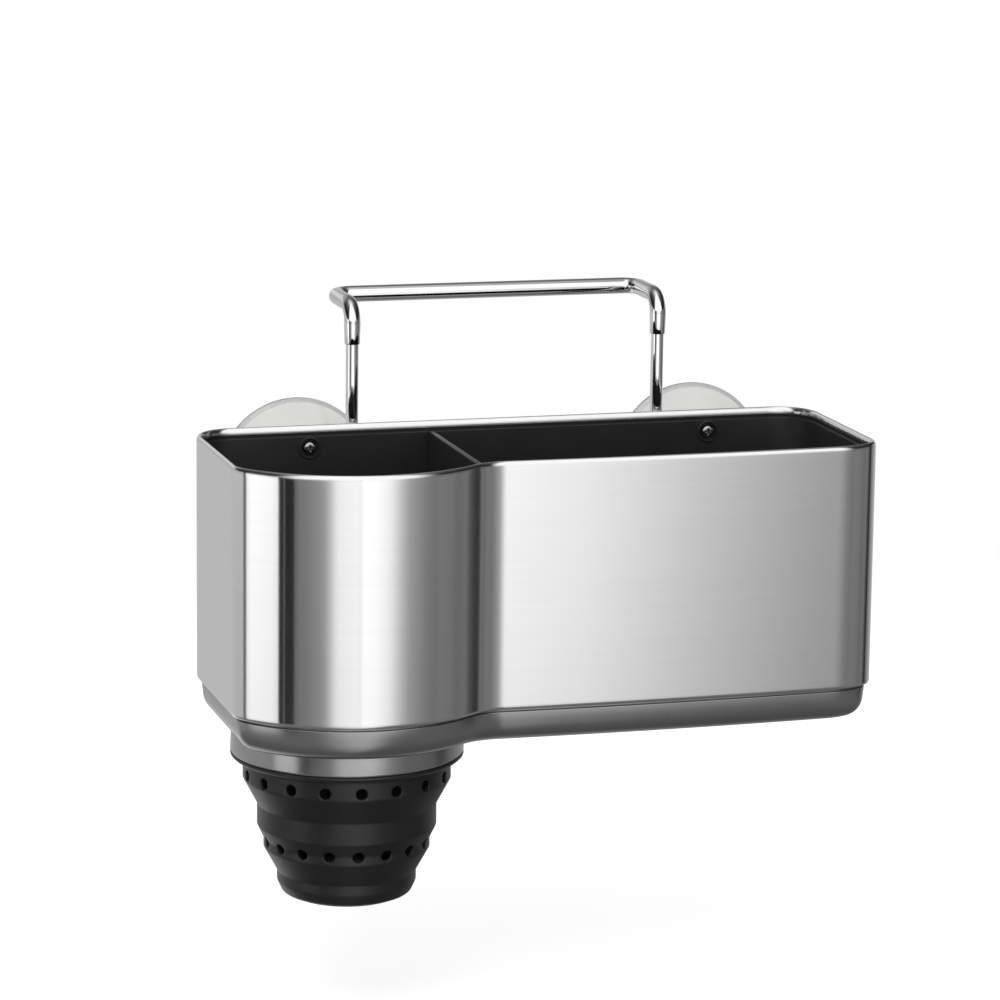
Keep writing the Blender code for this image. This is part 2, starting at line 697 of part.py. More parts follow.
def hanger_hoop(mat):
    """The bent tube: two legs, two arms and the bar behind them, bored for the rods."""
    route = hoop_route()
    sides = 14
    bm = bmesh.new()
    rings = []
    across = Vector((1.0, 0.0, 0.0))
    for i, (point, radius) in enumerate(route):
        before = route[max(i - 1, 0)][0]
        after = route[min(i + 1, len(route) - 1)][0]
        along = (after - before).normalized()
        across = (across - along * across.dot(along)).normalized()
        other = along.cross(across)
        row = []
        for k in range(sides):
            angle = 2 * math.pi * k / sides
            row.append(bm.verts.new(point + radius * (math.cos(angle) * across + math.sin(angle) * other)))
        rings.append(row)
    for here, there in zip(rings, rings[1:]):
        bridge(bm, here, there)
    bm.faces.new(rings[0])
    bm.faces.new(rings[-1])
    hoop = add_object("hanger_hoop", bm, mat, 40.0)
    for side, word in ((-1, "left"), (1, "right")):
        foot = (side * ROD_X, ROD_Y, RIM_Z + TUBE_END)
        bore = cylinder(f"tube_bore_{word}", TUBE_BORE_R, -1.0 * MM, TUBE_BORE_DEPTH, foot, mat, sides=16)
        combine(hoop, bore, "DIFFERENCE")
    return hoop


def main():
    """Builds every piece of the caddy."""
    remove_everything()
    steel = material("brushed_steel", (0.62, 0.62, 0.61), 0.3, 1.0)
    chrome = material("polished_chrome", (0.78, 0.78, 0.79), 0.06, 1.0)
    screw_steel = material("dark_screw_steel", (0.32, 0.32, 0.33), 0.3, 1.0)
    black = material("black_liner_plastic", (0.014, 0.014, 0.015), 0.32)
    grey = material("grey_base_plastic", (0.12, 0.12, 0.122), 0.35)
    collar = material("grey_collar_plastic", (0.2, 0.2, 0.203), 0.32)
    silicone = material("black_silicone", (0.016, 0.016, 0.017), 0.55)
    clear = material("clear_vinyl", (0.8, 0.81, 0.8), 0.15, 0.0, 0.45)
    rubber = material("black_rubber", (0.02, 0.02, 0.02), 0.7)

    steel_sleeve(steel)
    inner_liner(black)
    well_divider(black)
    base_tray(grey)
    collar_ring(collar)
    cup_bellows(silicone)
    cup_base(silicone)
    cup_retainer(black)
    hanger_hoop(chrome)
    for side in (-1, 1):
        rear_bracket(side, black)
        rod_bush(side, black)
        suction_cup(side, clear)
        hanger_rod(side, chrome)
        rod_cap(side, rubber)
        for level in (1, -1):
            bracket_screw(side, level, screw_steel)
    for number, place in enumerate(BASE_SCREWS, start=1):
        base_screw(number, place, screw_steel)


if __name__ == "__main__":
    main()
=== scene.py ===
"""Looks of the sink caddy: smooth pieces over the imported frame, their finishes and a plain studio.

The frame has +X to the right, +Z up and +Y towards the wall, with its origin on the wall between
the two suction cups. A place on the body is given from the body's centre line, its back and its
rim, and the sleeve, the liner and the tray all follow one plan. Lengths are in metres. Only the
corners of profiles, and the sizes of pieces that are written without MM, are in millimetres.
"""

import logging
import math
from abc import ABC, abstractmethod
from collections.abc import Iterator, Mapping, Sequence
from dataclasses import dataclass
from enum import Enum
from typing import Any

import bmesh
import bpy
from mathutils import Matrix, Vector


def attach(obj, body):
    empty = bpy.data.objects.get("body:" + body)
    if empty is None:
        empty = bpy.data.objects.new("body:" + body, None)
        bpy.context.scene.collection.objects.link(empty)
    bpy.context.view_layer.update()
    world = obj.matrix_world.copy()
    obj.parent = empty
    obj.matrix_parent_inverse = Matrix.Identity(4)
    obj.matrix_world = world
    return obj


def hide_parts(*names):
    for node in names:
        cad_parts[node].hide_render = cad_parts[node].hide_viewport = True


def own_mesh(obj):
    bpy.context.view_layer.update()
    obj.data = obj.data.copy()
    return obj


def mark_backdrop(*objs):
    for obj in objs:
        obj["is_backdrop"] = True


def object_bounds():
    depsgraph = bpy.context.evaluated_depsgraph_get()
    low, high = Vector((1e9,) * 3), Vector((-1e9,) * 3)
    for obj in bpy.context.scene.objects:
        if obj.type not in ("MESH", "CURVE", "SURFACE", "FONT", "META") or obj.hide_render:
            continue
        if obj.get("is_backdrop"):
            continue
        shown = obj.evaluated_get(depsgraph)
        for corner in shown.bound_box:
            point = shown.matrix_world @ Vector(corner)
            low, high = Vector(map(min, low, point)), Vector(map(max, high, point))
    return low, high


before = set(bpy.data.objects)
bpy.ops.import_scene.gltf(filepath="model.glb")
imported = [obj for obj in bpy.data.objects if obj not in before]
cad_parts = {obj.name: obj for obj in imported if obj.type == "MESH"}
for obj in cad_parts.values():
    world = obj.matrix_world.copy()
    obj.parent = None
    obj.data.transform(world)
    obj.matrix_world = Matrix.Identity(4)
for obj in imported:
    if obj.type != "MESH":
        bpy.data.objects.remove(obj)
cad_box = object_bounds()

log = logging.getLogger("sink_caddy")

MM = 0.001
Colour = tuple[float, float, float]
Profile = list[tuple[float, float]]
Row = list[bmesh.types.BMVert]
WHITE: Colour = (1.0, 1.0, 1.0)


class Body(Enum):
    """The moving bodies of the frame."""

    CADDY = "caddy"
    HANGER = "hanger"
    CUP = "cup"


class Slot(Enum):
    """The record's material slots."""

    STEEL = "sleeve_steel"
    LINER = "liner_plastic"
    BASE = "base_plastic"
    COLLAR = "collar_plastic"
    SILICONE = "silicone"
    VINYL = "clear_vinyl"
    CHROME = "polished_chrome"
    RUBBER = "cap_rubber"
    SCREW = "screw_steel"


class Axis(Enum):
    """The direction that a turned shape's profile runs along."""

    UP = "Z"
    BACK = "Y"

    def offset(self, across: float, beside: float, along: float) -> Vector:
        """A step from a point on the axis, as two parts across the axis and one along it."""
        return Vector((across, beside, along) if self is Axis.UP else (across, along, beside))


class Side(Enum):
    """Left and right as seen from the front, with the sign of X."""

    LEFT = -1
    RIGHT = 1

    @property
    def word(self) -> str:
        """The side's name in lower case."""
        return self.name.lower()


# Shader maths


class Channel:
    """A node's output that takes part in Python arithmetic.

    Values go through Math nodes, and vectors or colours through Vector Math nodes.
    """

    def __init__(self, graph: "Graph", socket: bpy.types.NodeSocket | None) -> None:
        """Wraps one output socket of a graph, or nothing for a node that has none."""
        self.graph = graph
        self.socket = socket

    def _join(self, operation: str, first: Any, second: Any) -> "Channel":
        """Adds the node for one operation on two operands.

        Args:
            operation: the name that Math and Vector Math share.
            first: the left operand, a Channel, a number or three numbers.
            second: the right operand.

        Returns:
            The node's output.
        """
        flat = all(
            value.socket.type == "VALUE" if isinstance(value, Channel)
            else isinstance(value, (int, float))
            for value in (first, second)
        )
        kind = "ShaderNodeMath" if flat else "ShaderNodeVectorMath"
        return self.graph.node(kind, {"operation": operation}, {0: first, 1: second})

    def __add__(self, other: Any) -> "Channel":
        """self + other."""
        return self._join("ADD", self, other)

    def __radd__(self, other: Any) -> "Channel":
        """other + self."""
        return self._join("ADD", other, self)

    def __sub__(self, other: Any) -> "Channel":
        """self - other."""
        return self._join("SUBTRACT", self, other)

    def __rsub__(self, other: Any) -> "Channel":
        """other - self."""
        return self._join("SUBTRACT", other, self)

    def __mul__(self, other: Any) -> "Channel":
        """self * other."""
        return self._join("MULTIPLY", self, other)

    def __rmul__(self, other: Any) -> "Channel":
        """other * self."""
        return self._join("MULTIPLY", other, self)

    def larger(self, other: Any) -> "Channel":
        """The larger of self and other."""
        return self._join("MAXIMUM", self, other)


class Graph:
    """A node tree that is written as expressions."""

    def __init__(self, tree: bpy.types.NodeTree) -> None:
        """Empties a tree so that it can be filled."""
        self.tree = tree
        tree.nodes.clear()

    def node(
        self,
        kind: str,
        settings: Mapping[str, Any] | None = None,
        sockets: Mapping[str | int, Any] | None = None,
        output: str | int = 0,
    ) -> Channel:
        """Makes any node: its type and settings first, then its inputs.

        Args:
            kind: the node's type, such as ShaderNodeTexNoise.
            settings: the node's own attributes, such as the operation of a Math node.
            sockets: values or Channels by the input's name or number.
            output: the output that is handed back.

        Returns:
            The chosen output.
        """
        made = self.tree.nodes.new(kind)
        for name, value in (settings or {}).items():
            setattr(made, name, value)
        for name, value in (sockets or {}).items():
            self._feed(made.inputs[name], value)
        return Channel(self, made.outputs[output] if made.outputs else None)

    def _feed(self, socket: bpy.types.NodeSocket, value: Any) -> None:
        """Links a Channel to an input, or writes a plain value into it.

        Args:
            socket: the input.
            value: a Channel, a number, a colour, or one number for all three parts of a vector.
        """
        if isinstance(value, Channel):
            self.tree.links.new(value.socket, socket)
        elif socket.type == "RGBA":
            socket.default_value = (*value, 1.0)
        elif socket.type == "VECTOR" and isinstance(value, (int, float)):
            socket.default_value = (value, value, value)
        else:
            socket.default_value = value

    def place(self) -> Channel:
        """The point being shaded, in the frame's metres at rest."""
        return self.node("ShaderNodeTexCoord", output="Object")

    def noise(
        self, place: Channel, scale: float, detail: float = 2.0, rough: float = 0.5
    ) -> Channel:
        """Smooth noise from 0 to 1.

        Args:
            place: where it is read.
            scale: spots per metre.
            detail: octaves.
            rough: the weight of the finer octaves.

        Returns:
            The noise as a value.
        """
        return self.node(
            "ShaderNodeTexNoise",
            {"noise_dimensions": "3D"},
            {"Vector": place, "Scale": scale, "Detail": detail, "Roughness": rough},
        )

    def spread(self, value: Channel, low: float, high: float) -> Channel:
        """Stretches a value so that low becomes 0 and high becomes 1, smoothly and clamped."""
        return self.node(
            "ShaderNodeMapRange",
            {"interpolation_type": "SMOOTHSTEP"},
            {"Value": value, "From Min": low, "From Max": high},
        )

    def length(self, spoke: Channel) -> Channel:
        """The length of a vector."""
        return self.node("ShaderNodeVectorMath", {"operation": "LENGTH"}, {0: spoke}, output="Value")

    def mix(self, factor: Channel, first: Any, second: Any) -> Channel:
        """A colour between two, by a factor from 0 to 1."""
        colours = {0: factor, 6: first, 7: second}
        return self.node("ShaderNodeMix", {"data_type": "RGBA"}, colours, output=2)

    def bump(self, height: Channel, strength: float, distance: float) -> Channel:
        """A normal tilted by a height map, with the height of 1 given in metres."""
        sockets = {"Strength": strength, "Distance": distance, "Height": height}
        return self.node("ShaderNodeBump", None, sockets)

    def principled(self, sockets: Mapping[str, Any]) -> Channel:
        """A Principled shader with the given inputs."""
        return self.node("ShaderNodeBsdfPrincipled", None, sockets)

    def surface(self, shader: Channel, kind: str = "ShaderNodeOutputMaterial") -> None:
        """Sends a shader to the tree's output."""
        self.node(kind, None, {"Surface": shader})


# Finishes


@dataclass(frozen=True)
class Finish(ABC):
    """What a surface is made of and how it was worked."""

    name: str
    slot: Slot

    def material(self) -> bpy.types.Material:
        """Makes the finish's material the first time that it is asked for.

        Returns:
            The one material of this name.
        """
        made = bpy.data.materials.get(self.name)
        if made is None:
            made = bpy.data.materials.new(self.name)
            made.use_nodes = True
            graph = Graph(made.node_tree)
            graph.surface(self.shade(graph))
        return made

    @abstractmethod
    def shade(self, graph: Graph) -> Channel:
        """Builds the shader in a graph."""


@dataclass(frozen=True)
class BrushedSheet(Finish):
    """Stainless sheet with fine level brushing, which spreads reflections up and down only."""

    dark: Colour = (0.697, 0.697, 0.694)
    light: Colour = (0.783, 0.783, 0.778)
    roughness: float = 0.125
    hairs_per_metre: float = 3400.0
    hairs_per_band: float = 14.0
    hair_share: float = 0.65
    hair_run: float = 9.0
    hair_depth: float = 0.004 * MM

    def shade(self, graph: Graph) -> Channel:
        """Brushing in the normal and roughness, with faint level bands and hand marks."""
        place = graph.place()
        run, dense = self.hair_run, self.hairs_per_metre
        hairs = graph.noise(place * (run, run, dense), scale=1.0, detail=3.0, rough=0.6)
        bands = graph.noise(place * (run, run, dense / self.hairs_per_band), scale=1.0)
        marks = graph.spread(graph.noise(place, scale=26.0, detail=3.0), low=0.35, high=0.75)
        grey = hairs * self.hair_share + bands * (1 - self.hair_share)
        return graph.principled({
            "Base Color": graph.mix(grey, self.dark, self.light),
            "Metallic": 1.0,
            "Roughness": self.roughness + hairs * 0.012 + marks * 0.008,
            "Anisotropic": 1.0,
            "Anisotropic Rotation": 0.25,
            "Normal": graph.bump(hairs, strength=0.5, distance=self.hair_depth),
        })


@dataclass(frozen=True)
class PolishedMetal(Finish):
    """Bright plating or passivated steel, with the faint haze that handling leaves."""

    colour: Colour
    roughness: float
    haze: float

    def shade(self, graph: Graph) -> Channel:
        """A clear metal whose roughness wanders a little."""
        place = graph.place()
        cloud = graph.spread(graph.noise(place, scale=60.0, detail=3.0), low=0.35, high=0.8)
        fine = graph.noise(place, scale=900.0)
        deep = tuple(part * 0.94 for part in self.colour)
        return graph.principled({
            "Base Color": graph.mix(cloud, self.colour, deep),
            "Metallic": 1.0,
            "Roughness": self.roughness + cloud * self.haze + fine * self.haze * 0.3,
            "Normal": graph.bump(fine, strength=0.2, distance=0.002 * MM),
        })


@dataclass(frozen=True)
class Moulding(Finish):
    """Satin plastic, silicone or rubber with a fine eroded grain from its mould."""

    colour: Colour
    roughness: float
    specular: float
    grains_per_metre: float = 2600.0
    grain_depth: float = 0.012 * MM
    metallic: float = 0.0

    def shade(self, graph: Graph) -> Channel:
        """Grain in the normal, with flow marks in the colour and shine."""
        place = graph.place()
        grain = graph.noise(place, self.grains_per_metre, rough=0.6)
        flow = graph.noise(place * (1.0, 1.0, 2.2), scale=34.0, detail=3.0)
        rubbed = graph.spread(graph.noise(place, scale=90.0, detail=4.0), low=0.45, high=0.8)
        deep = tuple(part * 0.86 for part in self.colour)
        pale = tuple(part * 1.12 for part in self.colour)
        return graph.principled({
            "Base Color": graph.mix(flow * 0.7 + grain * 0.3, deep, pale),
            "Roughness": self.roughness + (grain - 0.5) * 0.08 - rubbed * 0.05,
            "Specular IOR Level": self.specular,
            "Metallic": self.metallic,
            "Normal": graph.bump(grain, strength=0.5, distance=self.grain_depth),
        })


@dataclass(frozen=True)
class ClearVinyl(Finish):
    """Soft clear vinyl, slightly milky, that bends what is behind it."""

    colour: Colour = (0.76, 0.76, 0.75)
    rim_colour: Colour = (0.50, 0.50, 0.495)
    rim_from: float = 32.3 * MM
    rim_to: float = 33.0 * MM
    cup_x: float = 91.05 * MM
    roughness: float = 0.16

    def shade(self, graph: Graph) -> Channel:
        """A refracting shader with faint ripples, a matt bloom and a darker ring towards the rim."""
        place = graph.place()
        ripple = graph.noise(place, scale=75.0)
        bloom = graph.spread(graph.noise(place, scale=240.0, detail=3.0), low=0.4, high=0.8)
        milky = tuple(part * 0.965 for part in self.colour)
        across = graph.node("ShaderNodeVectorMath", {"operation": "ABSOLUTE"}, {0: place})
        spoke = (across - (self.cup_x, 0.0, 0.0)) * (1.0, 0.0, 1.0)
        reach = graph.length(spoke)
        rim = graph.spread(reach, self.rim_from, self.rim_to)
        face = graph.mix(bloom, self.colour, milky)
        return graph.principled({
            "Base Color": graph.mix(rim, face, self.rim_colour),
            "Roughness": self.roughness + bloom * 0.06,
            "IOR": 1.45,
            "Transmission Weight": 0.88,
            "Normal": graph.bump(ripple, strength=0.3, distance=0.15 * MM),
        })


SLEEVE_STEEL = BrushedSheet("brushed_sheet", Slot.STEEL)
CHROME = PolishedMetal(
    "mirror_chrome", Slot.CHROME, colour=(0.80, 0.80, 0.805), roughness=0.035, haze=0.03,
)
SCREW_STEEL = PolishedMetal(
    "dull_screw_metal", Slot.SCREW, colour=(0.42, 0.42, 0.425), roughness=0.2, haze=0.1,
)
BLACK_PLASTIC = Moulding(
    "satin_black_moulding", Slot.LINER, colour=(0.020, 0.020, 0.021), roughness=0.36, specular=0.5,
)
GREY_PLASTIC = Moulding(
    "satin_grey_moulding", Slot.BASE, colour=(0.36, 0.36, 0.363), roughness=0.22, specular=0.5,
    grain_depth=0.002 * MM, metallic=0.78,
)
COLLAR_PLASTIC = Moulding(
    "satin_collar_moulding", Slot.COLLAR, colour=(0.42, 0.42, 0.424), roughness=0.22, specular=0.5,
    grain_depth=0.001 * MM, metallic=0.65,
)
SILICONE = Moulding(
    "matt_black_silicone", Slot.SILICONE, colour=(0.013, 0.013, 0.0135), roughness=0.41, specular=0.5,
    grains_per_metre=1900.0, grain_depth=0.02 * MM,
)
RUBBER = Moulding(
    "matt_black_rubber", Slot.RUBBER, colour=(0.02, 0.02, 0.02), roughness=0.7, specular=0.3,
    grains_per_metre=1500.0, grain_depth=0.03 * MM,
)
VINYL = ClearVinyl("soft_clear_vinyl", Slot.VINYL)


# Profiles and outlines


@dataclass(frozen=True)
class Corner:
    """A corner of a profile, in millimetres, with the radius that rounds it."""

    across: float
    along: float
    radius: float = 0.0

    @property
    def point(self) -> Vector:
        """The sharp corner."""
        return Vector((self.across, self.along))


def arc(centre: Vector, radius: float, start: float, end: float, steps: int) -> list[Vector]:
    """Points along an arc.

    Args:
        centre: the arc's centre.
        radius: its radius.
        start: the first point's angle in degrees.
        end: the last point's angle in degrees.
        steps: how many chords it has.

    Returns:
        steps + 1 points.
    """
    points = []
    for i in range(steps + 1):
        angle = math.radians(start + (end - start) * i / steps)
        points.append(centre + radius * Vector((math.cos(angle), math.sin(angle))))
    return points


def quarter(
    centre: tuple[float, float], reach: tuple[float, float], start: float, steps: int = 7
) -> list[Corner]:
    """A quarter of an ellipse as sharp corners of a profile.

    Args:
        centre: the ellipse's centre in millimetres.
        reach: its half width and half height.
        start: the first point's angle in degrees; the quarter runs on to start + 90.
        steps: how many chords it has.

    Returns:
        steps + 1 corners.
    """
    unit = arc(Vector((0.0, 0.0)), 1.0, start, start + 90.0, steps)
    return [Corner(centre[0] + reach[0] * p.x, centre[1] + reach[1] * p.y) for p in unit]


def rounded(corners: Sequence[Corner], closed: bool = False, steps: int = 5) -> Profile:
    """A profile in metres whose corners are rounded.

    Args:
        corners: the corners in millimetres.
        closed: whether the last corner joins the first.
        steps: how many chords a rounded corner has.

    Returns:
        The profile's points.
    """
    points: list[Vector] = []
    count = len(corners)
    for i, corner in enumerate(corners):
        here = corner.point
        if corner.radius <= 0 or not (closed or 0 < i < count - 1):
            points.append(here)
            continue
        before = corners[i - 1].point - here
        after = corners[(i + 1) % count].point - here
        half = before.angle(after) / 2
        reach = min(corner.radius / math.tan(half), 0.48 * before.length, 0.48 * after.length)
        radius = reach * math.tan(half)
        inward = (before.normalized() + after.normalized()).normalized()
        centre = here + inward * radius / math.sin(half)
        first = here + before.normalized() * reach - centre
        last = here + after.normalized() * reach - centre
        start = math.degrees(math.atan2(first.y, first.x))
        turn = (math.degrees(math.atan2(last.y, last.x)) - start + 180) % 360 - 180
        points += arc(centre, radius, start, start + turn, steps)
    return [(point.x * MM, point.y * MM) for point in points]


def in_metres(points: Sequence[tuple[float, float]]) -> Profile:
    """A profile of sharp points given in millimetres."""
    return [(across * MM, along * MM) for across, along in points]


@dataclass(frozen=True)
class BodyPlan:
    """The outline that sleeve, liner and tray share, seen from above, and where the body hangs."""

    centre_x: float = -2.9 * MM
    back_y: float = -23.5 * MM
    rim_z: float = 26.6 * MM
    width: float = 282.0 * MM
    well_depth: float = 100.5 * MM
    back_corner: float = 18.0 * MM
    front_corner: float = 13.5 * MM
    front_sweep: float = 32.0 * MM
    sweep_turn: float = 28.0
    tub_x: float = -83.5 * MM
    tub_y: float = -51.0 * MM
    tub_radius: float = 68.44 * MM
    tub_corner: float = 15.0 * MM
    tub_fillet: float = 21.0 * MM
    front_crown: float = 1.6 * MM
    crown_steps: int = 24
    hold: float = 1.2 * MM

    def outline(self, inset: float) -> list[Vector]:
        """The closed outline, from the back's left end round to its right end.

        Args:
            inset: how far it is moved in.

        Returns:
            Points from the body's centre line and its back.
        """
        half = self.width / 2
        tub = Vector((self.tub_x, self.tub_y))
        corner = Vector((-half + self.tub_corner, 0.0))
        reach = self.tub_radius - self.tub_corner
        corner.y = tub.y - math.sqrt(reach**2 - (corner.x - tub.x) ** 2)
        fillet = Vector((0.0, -self.well_depth - self.tub_fillet))
        fillet.x = tub.x + math.sqrt((self.tub_radius + self.tub_fillet) ** 2 - (fillet.y - tub.y) ** 2)
        first, last = (math.degrees(math.atan2(p.y, p.x)) % 360 for p in (corner - tub, fillet - tub))
        back_left = Vector((-half + self.back_corner, -self.back_corner))
        back_right = Vector((half - self.back_corner, -self.back_corner))
        turn = math.radians(self.sweep_turn)
        front_right = Vector((half - self.front_corner, -self.well_depth + self.front_sweep))
        to_sweep = Vector((-math.sin(turn), math.cos(turn))) * (self.front_sweep - self.front_corner)
        front_right.y -= to_sweep.y
        sweep = front_right + to_sweep
        bend = 270 + self.sweep_turn
        lean = math.degrees(math.atan(4.0 * self.front_crown / (half - tub.x - self.tub_radius)))
        runs = [
            arc(back_left, self.back_corner - inset, 90, 180, 14),
            arc(corner, self.tub_corner - inset, 180, first, 8)
            + arc(tub, self.tub_radius - inset, first, last, 72)[1:-1]
            + arc(fillet, self.tub_fillet + inset, last - 180, 90 - lean, 18),
            arc(sweep, self.front_sweep - inset, 270 + lean, bend, 12)
            + arc(front_right, self.front_corner - inset, bend, 360, 12)[1:],
            arc(back_right, self.back_corner - inset, 0, 90, 14),
        ]
        points: list[Vector] = []
        for i, (run, following) in enumerate(zip(runs, runs[1:] + runs[:1])):
            crown = self.front_crown if i == 1 else 0.0
            points += run + self._straight(run[-1], following[0], crown)
        return points

    def _straight(self, start: Vector, end: Vector, crown: float) -> list[Vector]:
        """Points between two arcs: one close to each end, and a shallow bow where there is a crown.

        Args:
            start: the end of the arc before.
            end: the start of the arc after.
            crown: how far the wall's middle stands out.

        Returns:
            The points, without the two ends themselves.
        """
        length = (end - start).length
        shares = [self.hold / length, 1 - self.hold / length]
        if crown:
            shares[1:1] = [i / self.crown_steps for i in range(1, self.crown_steps)]
        bow = Vector((0.0, -4.0 * crown))
        return [start.lerp(end, share) + bow * share * (1 - share) for share in shares]

    def point(self, x: float, y: float, drop: float) -> Vector:
        """A point from the body's centre line, its back and its rim."""
        return Vector((self.centre_x + x, self.back_y + y, self.rim_z - drop))


# Meshes


class Skin:
    """A mesh in the making, as rows of vertices joined by quads."""

    def __init__(self) -> None:
        """Starts an empty mesh."""
        self.bm = bmesh.new()

    def row(self, points: Sequence[Vector]) -> Row:
        """Adds one vertex for each point."""
        return [self.bm.verts.new(point) for point in points]

    def join(self, here: Row, there: Row) -> None:
        """Adds quads between two closed rows, or a fan where one row is a single vertex.

        Args:
            here: the first row.
            there: the second row.
        """
        count = max(len(here), len(there))
        for i in range(count):
            j = (i + 1) % count
            pair = (here[i % len(here)], here[j % len(here)])
            facing = (there[j % len(there)], there[i % len(there)])
            self.bm.faces.new(list(dict.fromkeys(pair + facing)))

    def join_all(self, rows: Sequence[Row], looped: bool = False) -> None:
        """Joins each row with the next, and the last with the first where looped."""
        for here, there in zip(rows, rows[1:] + rows[:1] if looped else rows[1:]):
            self.join(here, there)

    def solid(self, rows: Sequence[Row]) -> None:
        """Joins each row with the next and closes the first and the last with one face each."""
        self.join_all(rows)
        self.bm.faces.new(rows[0])
        self.bm.faces.new(rows[-1])

    def finish(self, name: str, finish: Finish, smooth_angle: float = 34.0) -> bpy.types.Object:
        """Turns the mesh into an object with its faces pointing out.

        Args:
            name: the object's name.
            finish: what it is made of.
            smooth_angle: the steepest edge, in degrees, that is shaded smooth.

        Returns:
            The object, at the origin.
        """
        bmesh.ops.recalc_face_normals(self.bm, faces=self.bm.faces)
        mesh = bpy.data.meshes.new(name)
        self.bm.to_mesh(mesh)
        self.bm.free()
        mesh.materials.append(finish.material())
        smooth(mesh, smooth_angle)
        made = bpy.data.objects.new(name, mesh)
        bpy.context.scene.collection.objects.link(made)
        return made


def smooth(mesh: bpy.types.Mesh, smooth_angle: float = 34.0) -> None:
    """Shades a mesh smooth across all edges that are flatter than an angle in degrees."""
    mesh.shade_smooth()
    mesh.set_sharp_from_angle(angle=math.radians(smooth_angle))


def swept(name: str, plan: BodyPlan, profile: Profile, finish: Finish, ring: bool) -> bpy.types.Object:
    """Carries a profile of (inset, drop) points round the body's plan.

    Args:
        name: the object's name.
        plan: the body's plan.
        profile: the points.
        finish: what it is made of.
        ring: whether the profile closes on itself; otherwise a flat floor closes each end.

    Returns:
        The object.
    """
    skin = Skin()
    rows = []
    for inset, drop in profile:
        rows.append(skin.row([plan.point(p.x, p.y, drop) for p in plan.outline(inset)]))
    if ring:
        skin.join_all(rows, looped=True)
    else:
        skin.solid(rows)
    return skin.finish(name, finish)


def turned(
    name: str, profile: Profile, centre: Vector, finish: Finish, axis: Axis = Axis.UP, sides: int = 96
) -> bpy.types.Object:
    """A solid of revolution.

    Args:
        name: the object's name.
        profile: (radius, along) points; a radius of 0 closes an end.
        centre: where the profile's zero lies.
        finish: what it is made of.
        axis: the direction that it is turned about.
        sides: how many sides it has.

    Returns:
        The object.
    """
    skin = Skin()
    rows = []
    for radius, along in profile:
        turns = [2 * math.pi * i / sides for i in range(sides if radius > 0 else 1)]
        rows.append(skin.row([
            centre + axis.offset(radius * math.cos(t), radius * math.sin(t), along) for t in turns
        ]))
    skin.join_all(rows, looped=len(rows[0]) > 1)
    return skin.finish(name, finish)


def block(name: str, low: Vector, high: Vector, finish: Finish) -> bpy.types.Object:
    """A box, to be joined to or cut from a piece.

    Args:
        name: its name.
        low: its lowest corner.
        high: its highest corner.
        finish: what it is made of.

    Returns:
        The object.
    """
    skin = Skin()
    spots = ((low.x, low.y), (high.x, low.y), (high.x, high.y), (low.x, high.y))
    skin.solid([skin.row([Vector((*spot, z)) for spot in spots]) for z in (low.z, high.z)])
    return skin.finish(name, finish)


def rod(
    name: str, radius: float, ends: tuple[float, float], centre: Vector, finish: Finish,
    axis: Axis = Axis.UP, sides: int = 48,
) -> bpy.types.Object:
    """A plain round bar, to be joined to or cut from a piece.

    Args:
        name: its name.
        radius: its radius.
        ends: where it starts and ends, along its axis.
        centre: where the axis has its zero.
        finish: what it is made of.
        axis: its axis.
        sides: how many sides it has.

    Returns:
        The object.
    """
    profile = [(0.0, ends[0]), (radius, ends[0]), (radius, ends[1]), (0.0, ends[1])]
    return turned(name, profile, centre, finish, axis, sides)


def carve(target: bpy.types.Object, tools: Sequence[bpy.types.Object], operation: str) -> None:
    """Adds tools to a piece or cuts them from it, and removes them.

    Args:
        target: the piece.
        tools: the solids to combine with it.
        operation: UNION or DIFFERENCE.
    """
    for tool in tools:
        modifier = target.modifiers.new(tool.name, "BOOLEAN")
        modifier.operation = operation
        modifier.solver = "EXACT"
        modifier.object = tool
    keep_modifiers(target)
    for tool in tools:
        bpy.data.objects.remove(tool, do_unlink=True)


def soften(target: bpy.types.Object, width: float, angle: float, segments: int) -> None:
    """Rounds a piece's sharp edges.

    Args:
        target: the piece.
        width: how wide the rounding is.
        angle: edges that turn by more than this many degrees are rounded.
        segments: how many faces the rounding has.
    """
    bevel = target.modifiers.new("soft edges", "BEVEL")
    bevel.width = width
    bevel.segments = segments
    bevel.limit_method = "ANGLE"
    bevel.angle_limit = math.radians(angle)
    bevel.harden_normals = False
    keep_modifiers(target)


def keep_modifiers(target: bpy.types.Object) -> None:
    """Replaces a piece's mesh by what its modifiers make of it.

    Args:
        target: the piece.
    """
    depsgraph = bpy.context.evaluated_depsgraph_get()
    mesh = bpy.data.meshes.new_from_object(target.evaluated_get(depsgraph))
    target.modifiers.clear()
    target.data = mesh
    smooth(mesh)


@dataclass(frozen=True)
class Piece:
    """A finished mesh, the body that it rides on and the nodes that it stands for."""

    made: bpy.types.Object
    body: Body
    finish: Finish
    stands_for: tuple[str, ...] = ()

    def settle(self) -> None:
        """Puts the piece on its body in place of its nodes, and reports it."""
        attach(self.made, self.body.value)
        if self.stands_for:
            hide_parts(*self.stands_for)
        faces = len(self.made.data.polygons)
        log.info("%s rides on %s, %d faces", self.made.name, self.body.value, faces)


class Assembly(ABC):
    """A group of pieces that are built together."""

    @abstractmethod
    def pieces(self) -> Iterator[Piece]:
        """Builds and dresses the pieces one by one."""


# The body


